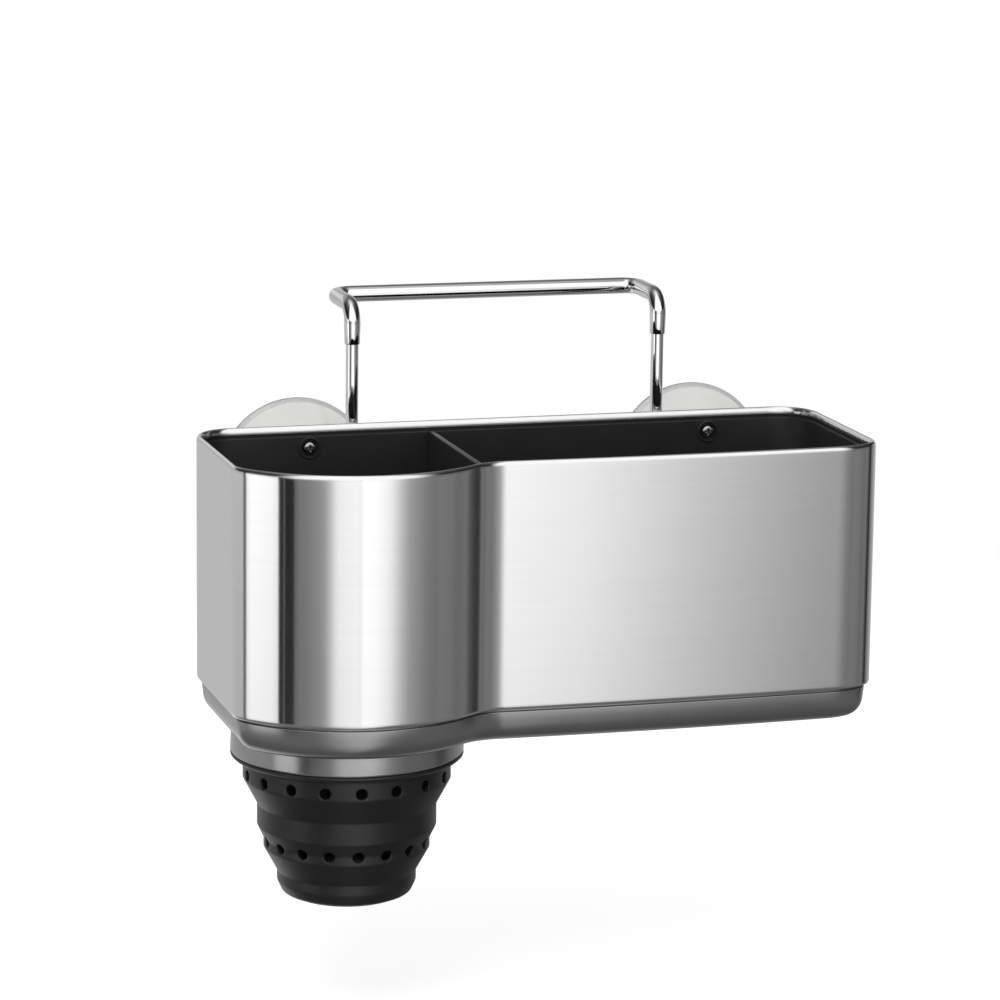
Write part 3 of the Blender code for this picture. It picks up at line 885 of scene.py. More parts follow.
@dataclass(frozen=True)
class Screws:
    """Pan-head screws with a cross recess: four through the back wall and four in the base."""

    head_radius: float = 2.9
    shank_radius: float = 1.45
    clear_radius: float = 1.9
    pilot_radius: float = 1.75
    recess_radius: float = 1.75 * MM
    recess_width: float = 0.62 * MM
    recess_depth: float = 1.1 * MM
    back_x: float = 91.05 * MM
    back_z: float = 16.8 * MM
    base_spots: tuple[tuple[float, float], ...] = (
        (-125.0, -16.5), (-22.0, -88.0), (124.0, -17.0), (124.0, -84.0),
    )

    def back_place(self, plan: BodyPlan, side: Side, level: int) -> Vector:
        """Where one screw enters the back wall; the level is 1 for the upper ones, -1 for the lower."""
        return Vector((side.value * self.back_x, plan.back_y, level * self.back_z))

    def back_places(self, plan: BodyPlan) -> list[Vector]:
        """Where all four screws enter the back wall."""
        return [self.back_place(plan, side, level) for side in Side for level in (1, -1)]

    def base_places(self, plan: BodyPlan, drop: float) -> list[Vector]:
        """The axes of the base's screws, at one drop below the rim in millimetres."""
        return [plan.point(x * MM, y * MM, drop * MM) for x, y in self.base_spots]

    def seat(
        self, radius: float, heights: tuple[float, float, float], place: Vector, finish: Finish,
        axis: Axis = Axis.UP, sides: int = 40,
    ) -> bpy.types.Object:
        """A cutter for a head's seat with a clear hole for the shank.

        Args:
            radius: the seat's radius in millimetres.
            heights: where the seat starts, where the hole starts and where it ends.
            place: where the axis has its zero.
            finish: what the cut piece is made of.
            axis: the screw's axis.
            sides: how many sides the cutter has.

        Returns:
            The cutter.
        """
        start, step, end = heights
        hole = self.clear_radius
        profile = [(0.0, start), (radius, start), (radius, step), (hole, step), (hole, end), (0.0, end)]
        return turned("screw_seat", in_metres(profile), place, finish, axis, sides)

    def cross(self, top: float, away: float, centre: Vector, axis: Axis) -> bpy.types.Object:
        """The tapered cross that is cut from a head.

        Args:
            top: the head's top, along the axis.
            away: the sign of the direction that points out of the head.
            centre: where the screw's zero lies.
            axis: the screw's axis.

        Returns:
            The cutter.
        """
        wide, thin = self.recess_radius, self.recess_width
        outline = []
        for i in range(4):
            spin = Matrix.Rotation(math.pi / 2 * i, 2)
            outline += [spin @ Vector(p) for p in ((wide, -thin), (wide, thin), (thin, thin))]
        skin = Skin()
        rows = []
        for depth, scale in ((-0.4 * MM, 1.15), (self.recess_depth, 0.45)):
            points = [p * scale for p in outline]
            along = top - away * depth
            rows.append(skin.row([centre + axis.offset(p.x, p.y, along) for p in points]))
        skin.solid(rows)
        return skin.finish("cross_recess", SCREW_STEEL)

    def screw(
        self, name: str, centre: Vector, axis: Axis, head: tuple[float, float], tip: float
    ) -> bpy.types.Object:
        """One screw.

        Args:
            name: its name.
            centre: where its zero lies.
            axis: its axis.
            head: the head's top and its seat, along the axis.
            tip: where its point ends.

        Returns:
            The object.
        """
        top, seat = head
        away = math.copysign(1.0, top - seat)
        rise = abs(top - seat) / MM
        length = abs(tip - top) / MM
        corners = [
            Corner(0.0, 0.0), Corner(1.9, 0.1), Corner(2.55, 0.5, 0.4),
            Corner(self.head_radius, rise - 0.35, 0.2), Corner(self.head_radius, rise, 0.1),
            Corner(self.shank_radius, rise), Corner(self.shank_radius, length - 1.2),
            Corner(0.0, length),
        ]
        profile = [(radius, top - away * along) for radius, along in rounded(corners)]
        made = turned(name, profile, centre, SCREW_STEEL, axis, 40)
        carve(made, [self.cross(top, away, centre, axis)], "DIFFERENCE")
        return made


SCREWS = Screws()


@dataclass(frozen=True)
class SteelSleeve(Assembly):
    """The bent stainless wall with a rolled hem at the rim and a curled lower edge."""

    plan: BodyPlan
    height: float = 106.4
    sheet: float = 0.8
    hem_width: float = 2.5
    hem_drop: float = 3.0
    hem_shoulder: float = 2.7
    hem_fold: float = 0.2
    curl: float = 1.8
    curl_width: float = 1.2
    curl_rise: float = 1.5

    def profile(self) -> Profile:
        """The sheet's section, from the rim down the inside and up the outside.

        Returns:
            Points as (inset, drop).
        """
        low = self.height
        half = self.hem_width / 2
        fold = self.hem_drop + self.hem_fold
        corners = quarter((half, self.hem_shoulder), (half, self.hem_shoulder), 180.0)
        corners += quarter((half, self.hem_drop), (half, self.hem_drop), 270.0, 10)[1:]
        corners += [
            Corner(self.hem_width - self.hem_fold, fold),
            Corner(self.sheet, fold, 0.1),
            Corner(self.sheet, low - self.curl_rise, 0.4),
            Corner(1.35, low - 0.75, 0.3),
            Corner(self.curl, low - 0.75, 0.15),
            Corner(self.curl, low - 0.1, 0.15),
        ]
        curl = (self.curl_width, self.curl_rise)
        corners += quarter((self.curl_width, low - self.curl_rise), curl, 90.0)
        corners += [Corner(0.0, low - 2.3), Corner(0.0, 3.6)]
        return rounded(corners, closed=True, steps=3)

    def pieces(self) -> Iterator[Piece]:
        """The sleeve, pierced for the bracket screws."""
        made = swept("sleeve_sheet", self.plan, self.profile(), SLEEVE_STEEL, ring=True)
        ends = (-2.0 * MM, 0.4 * MM)
        holes = [
            rod("hole", SCREWS.clear_radius * MM, ends, place, SLEEVE_STEEL, Axis.BACK, 32)
            for place in SCREWS.back_places(self.plan)
        ]
        carve(made, holes, "DIFFERENCE")
        yield Piece(made, Body.CADDY, SLEEVE_STEEL, ("steel_sleeve",))


@dataclass(frozen=True)
class Drains:
    """Two rows of drain slots under the long well."""

    row_depths: tuple[float, float] = (-38.0, -62.0)
    first_x: float = -4.0
    pitch: float = 36.0
    count: int = 4
    half_length: float = 11.0

    def cutters(
        self, plan: BodyPlan, ends: tuple[float, float], half_width: float, finish: Finish
    ) -> list[bpy.types.Object]:
        """Round-ended cutters for the slots.

        Args:
            plan: the body's plan.
            ends: the cutters' lower and upper end in millimetres, as drops below the rim.
            half_width: half of a slot's width in millimetres.
            finish: what the cut piece is made of.

        Returns:
            One object for each slot.
        """
        made = []
        radius = half_width * MM
        for y in self.row_depths:
            for i in range(self.count):
                middle = Vector(((self.first_x + self.pitch * i) * MM, y * MM))
                reach = Vector((self.half_length * MM - radius, 0.0))
                outline = arc(middle + reach, radius, -90, 90, 10)
                outline += arc(middle - reach, radius, 90, 270, 10)
                skin = Skin()
                skin.solid([
                    skin.row([plan.point(p.x, p.y, drop * MM) for p in outline]) for drop in ends
                ])
                made.append(skin.finish("drain_slot", finish))
        return made


DRAINS = Drains()


@dataclass(frozen=True)
class DrainCup(Assembly):
    """The round end of the caddy: grey collar, stiff retainer and the folding silicone cup."""

    plan: BodyPlan
    x: float = -83.3 * MM
    y: float = -52.0 * MM
    spigot: float = 46.9
    spigot_gap: float = 0.3
    throat: float = 42.4
    collar_radius: float = 50.0
    collar_top: float = 121.7
    collar_bottom: float = 131.3
    wall: float = 1.9
    tiers: tuple[float, ...] = (44.6, 38.5, 35.7, 29.9)
    joint_drop: float = 185.5
    bottom: float = 195.3
    hole_radius: float = 2.35
    hole_round: float = 0.5
    hole_rows: tuple[float, ...] = (140.2, 170.2)
    holes: int = 18
    phase: float = -6.0
    fixed_end: float = 134.4
    travel: float = 38.0

    def axis(self) -> Vector:
        """The cup's axis at the rim's height."""
        return self.plan.point(self.x, self.y, 0.0)

    def turned_down(self, name: str, corners: Sequence[Corner], finish: Finish) -> bpy.types.Object:
        """A turned piece from (radius, drop) corners.

        Args:
            name: its name.
            corners: the corners, with drops measured down from the rim.
            finish: what it is made of.

        Returns:
            The object.
        """
        closed = corners[0].across > 0
        profile = [(radius, -drop) for radius, drop in rounded(corners, closed)]
        return turned(name, profile, self.axis(), finish, sides=144)

    def collar(self) -> bpy.types.Object:
        """The clamping ring, slightly wider towards its lower edge."""
        bore = self.spigot + self.spigot_gap
        return self.turned_down("collar_moulding", [
            Corner(bore, self.collar_top), Corner(49.5, self.collar_top, 1.4),
            Corner(self.collar_radius, self.collar_bottom - 0.5, 2.0),
            Corner(49.7, self.collar_bottom, 0.25), Corner(bore, self.collar_bottom),
        ], COLLAR_PLASTIC)

    def retainer(self) -> bpy.types.Object:
        """The stiff ring inside the silicone sleeve."""
        return self.turned_down("retainer_moulding", [
            Corner(38.4, 129.6, 0.4), Corner(40.0, 129.6, 0.4), Corner(40.0, 116.7),
            Corner(43.3, 116.7, 0.3), Corner(43.3, 115.5, 0.5), Corner(38.4, 115.5, 0.5),
        ], BLACK_PLASTIC)

    def lip(self) -> bpy.types.Object:
        """The bead, sleeve and flange that the collar and retainer hold."""
        first, end = self.tiers[0], self.fixed_end
        return self.turned_down("cup_lip", [
            Corner(43.5, 117.0, 0.3), Corner(43.5, 118.3, 0.2), Corner(42.0, 118.3),
            Corner(42.0, 131.6), Corner(49.8, 131.6, 0.2), Corner(50.0, 132.7, 0.5),
            Corner(48.8, 133.8, 0.6), Corner(first + 0.6, end, 0.2), Corner(42.1, end),
            Corner(40.3, 131.6, 0.5), Corner(40.3, 117.0, 0.4),
        ], SILICONE)

    def end(self) -> bpy.types.Object:
        """The closed lower end of the cup."""
        last, low = self.tiers[-1], self.bottom
        top = self.joint_drop + 0.02
        inner = last - self.wall
        return self.turned_down("cup_end", [
            Corner(0.0, low), Corner(last - 6.6, low, 2.0), Corner(last - 2.0, low - 1.9, 3.0),
            Corner(last, low - 6.4, 3.5), Corner(last, top), Corner(inner, top),
            Corner(inner, low - 6.6, 3.0), Corner(inner - 3.4, low - 2.5, 2.5),
            Corner(inner - 6.0, low - 2.2, 1.0), Corner(0.0, low - 2.2),
        ], SILICONE)

    def folds(self) -> bpy.types.Object:
        """The stepped wall with its two rows of holes."""
        top, low = self.fixed_end - 0.3, self.joint_drop
        r1, r2, r3, r4 = self.tiers
        outside = rounded([
            Corner(r1 + 0.3, top), Corner(r1, 135.6, 0.6), Corner(r1, 143.2, 1.3),
            Corner(r2, 154.7, 1.6), Corner(r2, 164.1, 1.2), Corner(r3, 169.9, 1.0),
            Corner(r3, 173.9, 1.2), Corner(r4, 184.4, 1.4), Corner(r4, low),
        ])
        r1, r2, r3, r4 = (radius - self.wall for radius in self.tiers)
        inside = rounded([
            Corner(42.0, top), Corner(r1, 135.6, 0.6), Corner(r1, 142.6, 1.3),
            Corner(r2, 155.2, 1.6), Corner(r2, 163.6, 1.2), Corner(r3, 169.8, 1.0),
            Corner(r3, 173.4, 1.2), Corner(r4, 184.8, 0.8), Corner(r4, low),
        ])
        pierced = PiercedWall(
            outside, inside, self.axis(), self.holes, math.radians(self.phase - 90.0),
            tuple(drop * MM for drop in self.hole_rows), self.hole_radius * MM, self.hole_round * MM,
        )
        return pierced.build("cup_folds", SILICONE)

    def pieces(self) -> Iterator[Piece]:
        """Collar, retainer and the three pieces of the cup."""
        yield Piece(self.collar(), Body.CADDY, COLLAR_PLASTIC, ("collar_ring",))
        yield Piece(self.retainer(), Body.CADDY, BLACK_PLASTIC, ("cup_retainer",))
        yield Piece(self.lip(), Body.CADDY, SILICONE, ("cup_bellows",))
        folds = self.folds()
        yield Piece(folds, Body.CADDY, SILICONE, ("cup_bellows",))
        anchor = self.plan.point(self.x, self.y, self.fixed_end * MM)
        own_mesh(folds)
        yield Piece(self.end(), Body.CUP, SILICONE, ("cup_base",))


@dataclass(frozen=True)
class PiercedWall:
    """A turned wall with rows of round holes whose rims are rounded.

    Each hole has a window of the wall to itself: rings of vertices lead from the window's straight
    edges to the round rim, and through the wall to the inner side.
    """

    outside: Profile
    inside: Profile
    centre: Vector
    holes: int
    phase: float
    rows: tuple[float, ...]
    radius: float
    rim: float
    half_height: float = 3.9 * MM
    columns: int = 10
    levels: int = 8
    rings: int = 6
    rim_steps: int = 3
    weld: float = 0.002 * MM
    clear: float = 0.02 * MM

    def build(self, name: str, finish: Finish) -> bpy.types.Object:
        """Builds the wall as one closed mesh.

        Args:
            name: the object's name.
            finish: what it is made of.

        Returns:
            The object.
        """
        skin = Skin()
        outer, inner = [self._plain_rings(skin, profile) for profile in (self.outside, self.inside)]
        for outer_ring, inner_ring in zip(outer, inner):
            skin.join(outer_ring, inner_ring)
        for drop in self.rows:
            for i in range(self.holes):
                angle = self.phase + 2 * math.pi * i / self.holes
                skin.join(
                    self._window(skin, self.outside, angle, drop, -1.0),
                    self._window(skin, self.inside, angle, drop, 1.0),
                )
        bmesh.ops.remove_doubles(skin.bm, verts=skin.bm.verts, dist=self.weld)
        return skin.finish(name, finish, 40.0)

    def _radius_at(self, profile: Profile, drop: float) -> float:
        """The wall's radius at one drop.

        Args:
            profile: the side of the wall.
            drop: the height below the rim.

        Returns:
            The radius, or the nearer end's beyond the profile.
        """
        for (r0, d0), (r1, d1) in zip(profile, profile[1:]):
            if d0 <= drop <= d1:
                return r0 if d1 == d0 else r0 + (r1 - r0) * (drop - d0) / (d1 - d0)
        return profile[-1][0] if drop > profile[-1][1] else profile[0][0]

    def _plain_rings(self, skin: Skin, profile: Profile) -> tuple[Row, Row]:
        """Full rings above, between and below the windows, joined with each other.

        Args:
            skin: the mesh that they go into.
            profile: the side of the wall.

        Returns:
            The first and the last ring.
        """
        breaks = [profile[0][1]]
        for drop in self.rows:
            breaks += [drop - self.half_height, drop + self.half_height]
        breaks.append(profile[-1][1])
        ends = []
        for start, stop in zip(breaks[::2], breaks[1::2]):
            between = [d for _, d in profile if start + self.clear < d < stop - self.clear]
            rings = [skin.row(self._ring(profile, drop)) for drop in (start, *between, stop)]
            skin.join_all(rings)
            ends += [rings[0], rings[-1]]
        return ends[0], ends[-1]

    def _ring(self, profile: Profile, drop: float) -> list[Vector]:
        """Points all round the wall.

        Args:
            profile: the side of the wall.
            drop: the height below the rim.

        Returns:
            The points, a column's width apart.
        """
        count = self.holes * self.columns
        radius = self._radius_at(profile, drop)
        start = self.phase - math.pi / self.holes
        return [self._polar(radius, start + 2 * math.pi * i / count, drop) for i in range(count)]

    def _polar(self, radius: float, angle: float, drop: float) -> Vector:
        """A point at one radius, angle and drop."""
        return self.centre + Vector((radius * math.cos(angle), radius * math.sin(angle), -drop))

    def _frame(self) -> list[tuple[float, float]]:
        """The window's edge.

        Returns:
            Points as (across, down) shares from -1 to 1.
        """
        edge = [(-1 + 2 * i / self.columns, -1.0) for i in range(self.columns)]
        edge += [(1.0, -1 + 2 * i / self.levels) for i in range(self.levels)]
        edge += [(1 - 2 * i / self.columns, 1.0) for i in range(self.columns)]
        edge += [(-1.0, 1 - 2 * i / self.levels) for i in range(self.levels)]
        return edge

    def _window(self, skin: Skin, profile: Profile, angle: float, drop: float, into: float) -> Row:
        """The wall round one hole, with its rounded rim.

        Args:
            skin: the mesh that it goes into.
            profile: the side of the wall.
            angle: the hole's direction.
            drop: the hole's height below the rim.
            into: -1 where the rim turns towards the axis, 1 where it turns outwards.

        Returns:
            The last row of vertices, inside the hole.
        """
        half_angle = math.pi / self.holes
        radius = self._radius_at(profile, drop)
        frame_edge = self._frame()
        turns = [math.atan2(v * self.half_height, u * half_angle * radius) for u, v in frame_edge]
        wide = self.radius + self.rim
        rows = []
        for ring in range(self.rings + 1):
            share = ring / self.rings
            points = []
            for (u, v), turn in zip(frame_edge, turns):
                down = wide * math.sin(turn)
                here = self._radius_at(profile, drop + down)
                hole = (math.asin(wide * math.cos(turn) / here), down)
                edge = (u * half_angle, v * self.half_height)
                across, fall = (edge[k] + (hole[k] - edge[k]) * share for k in (0, 1))
                level = drop + fall
                points.append(self._polar(self._radius_at(profile, level), angle + across, level))
            rows.append(skin.row(points))
        outward = Vector((math.cos(angle), math.sin(angle), 0.0))
        sideways = Vector((-outward.y, outward.x, 0.0))
        for step in range(1, self.rim_steps + 1):
            bend = math.pi / 2 * step / self.rim_steps
            reach = self.radius + self.rim * (1 - math.sin(bend))
            depth = into * self.rim * (1 - math.cos(bend))
            points = []
            for turn in turns:
                side, down = reach * math.cos(turn), reach * math.sin(turn)
                out = math.sqrt(self._radius_at(profile, drop + down) ** 2 - side**2) + depth
                below = Vector((0.0, 0.0, drop + down))
                points.append(self.centre + outward * out + sideways * side - below)
            rows.append(skin.row(points))
        skin.join_all(rows)
        return rows[-1]


@dataclass(frozen=True)
class BasePieces(Assembly):
    """The liner of both wells, the plate between them, the grey tray below and its screws."""

    plan: BodyPlan
    cup: DrainCup
    liner_outset: float = 1.1
    liner_wall: float = 1.6
    liner_lip: float = 0.8
    liner_top: float = 3.3
    liner_step: float = 95.0
    lower_inset: float = 4.9
    tray_gap: float = 0.5
    rib_depths: tuple[float, ...] = (-26.0, -50.0, -74.0)
    rib_ends: tuple[float, float] = (-24.0, 126.0)
    rib_height: float = 3.0
    rooting: float = 0.4
    base_inset: float = 2.3
    base_wall: float = 2.2
    base_fillet: float = 9.0
    base_top: float = 99.0
    base_bottom: float = 121.4
    base_lean: float = 6.0
    base_spread: float = 0.25
    base_seam: float = 107.5
    seam_depth: float = 1.1
    floor_edge: float = 1.5
    spigot_length: float = 8.1
    divider_x: float = -33.75
    divider_thick: float = 2.3
    divider_top: float = 4.2
    divider_gap: float = 0.35
    divider_edge: float = 0.75

    @property
    def liner_fillet(self) -> float:
        """The outer radius of the liner's lower edge."""
        return self.base_fillet - self.base_wall - self.tray_gap

    @property
    def liner_bottom(self) -> float:
        """The liner's underside, below the rim."""
        return self.base_bottom - self.base_fillet + self.liner_fillet

    def foot(self, inset: float, wall_top: float, radius: float) -> list[Corner]:
        """A wall and its rounded lower edge, ending on the flat floor.

        Args:
            inset: the wall's inset.
            wall_top: where the wall starts, below the rim.
            radius: the lower edge's radius.

        Returns:
            The corners of the profile.
        """
        centre = (self.base_inset + self.base_fillet, self.base_bottom - self.base_fillet)
        edge = arc(Vector(centre), radius, 180, 90, 10)
        corners = [Corner(inset, wall_top)] + [Corner(p.x, p.y) for p in edge]
        return corners + [Corner(centre[0] + self.floor_edge, centre[1] + radius)]

    def liner(self) -> bpy.types.Object:
        """The black moulding with ribs, posts, drains and screw seats."""
        step, wall = self.liner_step, self.liner_outset + self.liner_wall
        outer = [Corner(self.liner_outset, self.liner_top), Corner(self.liner_outset, step, 1.0)]
        outer += self.foot(self.lower_inset, step + 3.0, self.liner_fillet)
        inner = [
            Corner(wall - self.liner_lip, self.liner_top),
            Corner(wall - self.liner_lip, self.liner_top + 1.1),
            Corner(wall, self.liner_top + 1.4, 0.3),
            Corner(wall, step - 1.0, 1.5),
        ]
        fillet = self.liner_fillet - self.liner_wall
        inner += self.foot(self.lower_inset + self.liner_wall, step + 2.4, fillet)
        section = rounded(outer[::-1] + inner)
        made = swept("liner_moulding", self.plan, section, BLACK_PLASTIC, ring=False)
        carve(made, self.liner_raised(), "UNION")
        carve(made, self.liner_cuts(), "DIFFERENCE")
        return made

    def liner_raised(self) -> list[bpy.types.Object]:
        """What stands on the liner.

        Returns:
            The floor's ribs and screw posts, and the rings round the seats in the back wall.
        """
        floor = self.liner_bottom - self.liner_wall
        root = floor + self.rooting
        made = []
        for y in self.rib_depths:
            left, right = self.rib_ends
            low = self.plan.point(left * MM, (y - 1.0) * MM, root * MM)
            high = self.plan.point(right * MM, (y + 1.0) * MM, (floor - self.rib_height) * MM)
            made.append(block("floor_rib", low, high, BLACK_PLASTIC))
        for place in SCREWS.base_places(self.plan, root):
            made.append(rod("screw_post", 3.6 * MM, (0.0, 5.0 * MM), place, BLACK_PLASTIC))
        wall = -self.liner_outset - self.liner_wall
        sunk, face = wall + self.rooting, wall - 0.7
        corners = [Corner(3.9, sunk), Corner(5.0, sunk)]
        corners += [Corner(4.75, face, 0.3), Corner(3.9, face, 0.3)]
        ring = rounded(corners, closed=True, steps=4)
        for place in SCREWS.back_places(self.plan):
            made.append(turned("seat_ring", ring, place, BLACK_PLASTIC, Axis.BACK, 64))
        return made

    def liner_cuts(self) -> list[bpy.types.Object]:
        """What is cut from the liner.

        Returns:
            The cup's throat, the seats in the back wall, the posts' bores and the drain slots.
        """
        low = self.liner_bottom
        throat = self.plan.point(self.cup.x, self.cup.y, low * MM)
        radius = (self.cup.throat + 2.0) * MM
        cuts = [rod("throat", radius, (-3.0 * MM, 5.0 * MM), throat, BLACK_PLASTIC, sides=144)]
        for place in SCREWS.back_places(self.plan):
            cuts.append(SCREWS.seat(4.1, (-6.0, -1.9, 0.0), place, BLACK_PLASTIC, Axis.BACK, 48))
        bore = SCREWS.pilot_radius * MM
        for place in SCREWS.base_places(self.plan, low):
            cuts.append(rod("post_bore", bore, (-1.0 * MM, 4.6 * MM), place, BLACK_PLASTIC, sides=24))
        ends = (low + 1.0, low - self.liner_wall - 1.0)
        return cuts + DRAINS.cutters(self.plan, ends, 2.0, BLACK_PLASTIC)

    def divider(self) -> bpy.types.Object:
        """The upright plate between the two wells, with a rounded top edge."""
        front = -self.plan.well_depth / MM + self.liner_outset + self.liner_wall - 0.6
        back = -self.liner_outset - self.liner_wall - self.divider_gap
        lower = back - (self.lower_inset - self.liner_outset + 0.6)
        bottom = self.base_bottom - self.base_wall - self.tray_gap - self.liner_wall - self.divider_gap
        step = self.liner_step - 2.0
        side = [
            Corner(back, self.divider_top, 0.8), Corner(back, step, 1.0),
            Corner(lower, step + 3.0, 1.0), Corner(lower, bottom, 4.0),
        ]
        mirrored = [Corner(front + back - c.across, c.along, c.radius) for c in reversed(side)]
        outline = rounded(side + mirrored, closed=True, steps=6)
        half = self.divider_thick / 2
        skin = Skin()
        rows = []
        for x in (self.divider_x * MM - half * MM, self.divider_x * MM + half * MM):
            rows.append(skin.row([self.plan.point(x, y, drop) for y, drop in outline]))
        skin.solid(rows)
        made = skin.finish("divider_plate", BLACK_PLASTIC)
        soften(made, self.divider_edge * MM, angle=50.0, segments=4)
        return made

    def tray(self) -> bpy.types.Object:
        """The grey tray with the cup's spigot, drains and screw seats."""
        low, seam = self.base_bottom, self.base_seam
        centre = Vector((self.base_inset + self.base_fillet + self.base_spread, low - self.base_fillet))
        edge = arc(centre, self.base_fillet, 180 - self.base_lean, 90, 12)
        shown = edge[0].x - (edge[0].y - seam) * math.tan(math.radians(self.base_lean))
        hidden = self.base_inset + self.seam_depth
        outer = [Corner(hidden, self.base_top), Corner(hidden, seam), Corner(shown, seam, 0.5)]
        outer += [Corner(p.x, p.y) for p in edge] + [Corner(centre.x + self.floor_edge, low)]
        fillet = self.base_fillet - self.base_wall
        inner = self.foot(self.base_inset + self.base_wall, self.base_top, fillet)
        section = rounded(outer[::-1] + inner)
        made = swept("tray_moulding", self.plan, section, GREY_PLASTIC, ring=False)
        axis = self.plan.point(self.cup.x, self.cup.y, low * MM)
        ends = (-self.spigot_length * MM, 1.2 * MM)
        carve(made, [rod("spigot", self.cup.spigot * MM, ends, axis, GREY_PLASTIC, sides=144)], "UNION")
        ends = (-12.0 * MM, 6.0 * MM)
        cuts = [rod("tray_throat", self.cup.throat * MM, ends, axis, GREY_PLASTIC, sides=144)]
        for place in SCREWS.base_places(self.plan, low):
            cuts.append(SCREWS.seat(3.4, (-1.0, 1.3, 4.0), place, GREY_PLASTIC))
        cuts += DRAINS.cutters(self.plan, (low + 1.0, low - 4.0), 3.0, GREY_PLASTIC)
        carve(made, cuts, "DIFFERENCE")
        return made

    def pieces(self) -> Iterator[Piece]:
        """Liner, divider, tray and the four base screws."""
        yield Piece(self.liner(), Body.CADDY, BLACK_PLASTIC, ("inner_liner",))
        yield Piece(self.divider(), Body.CADDY, BLACK_PLASTIC, ("well_divider",))
        yield Piece(self.tray(), Body.CADDY, GREY_PLASTIC, ("base_tray",))
        for number, place in enumerate(SCREWS.base_places(self.plan, self.base_bottom), start=1):
            made = SCREWS.screw(f"tray_screw_{number}", place, Axis.UP, (0.1 * MM, 1.3 * MM), 6.6 * MM)
            yield Piece(made, Body.CADDY, SCREW_STEEL, (f"base_screw_{number}",))


# The hanger and what holds it


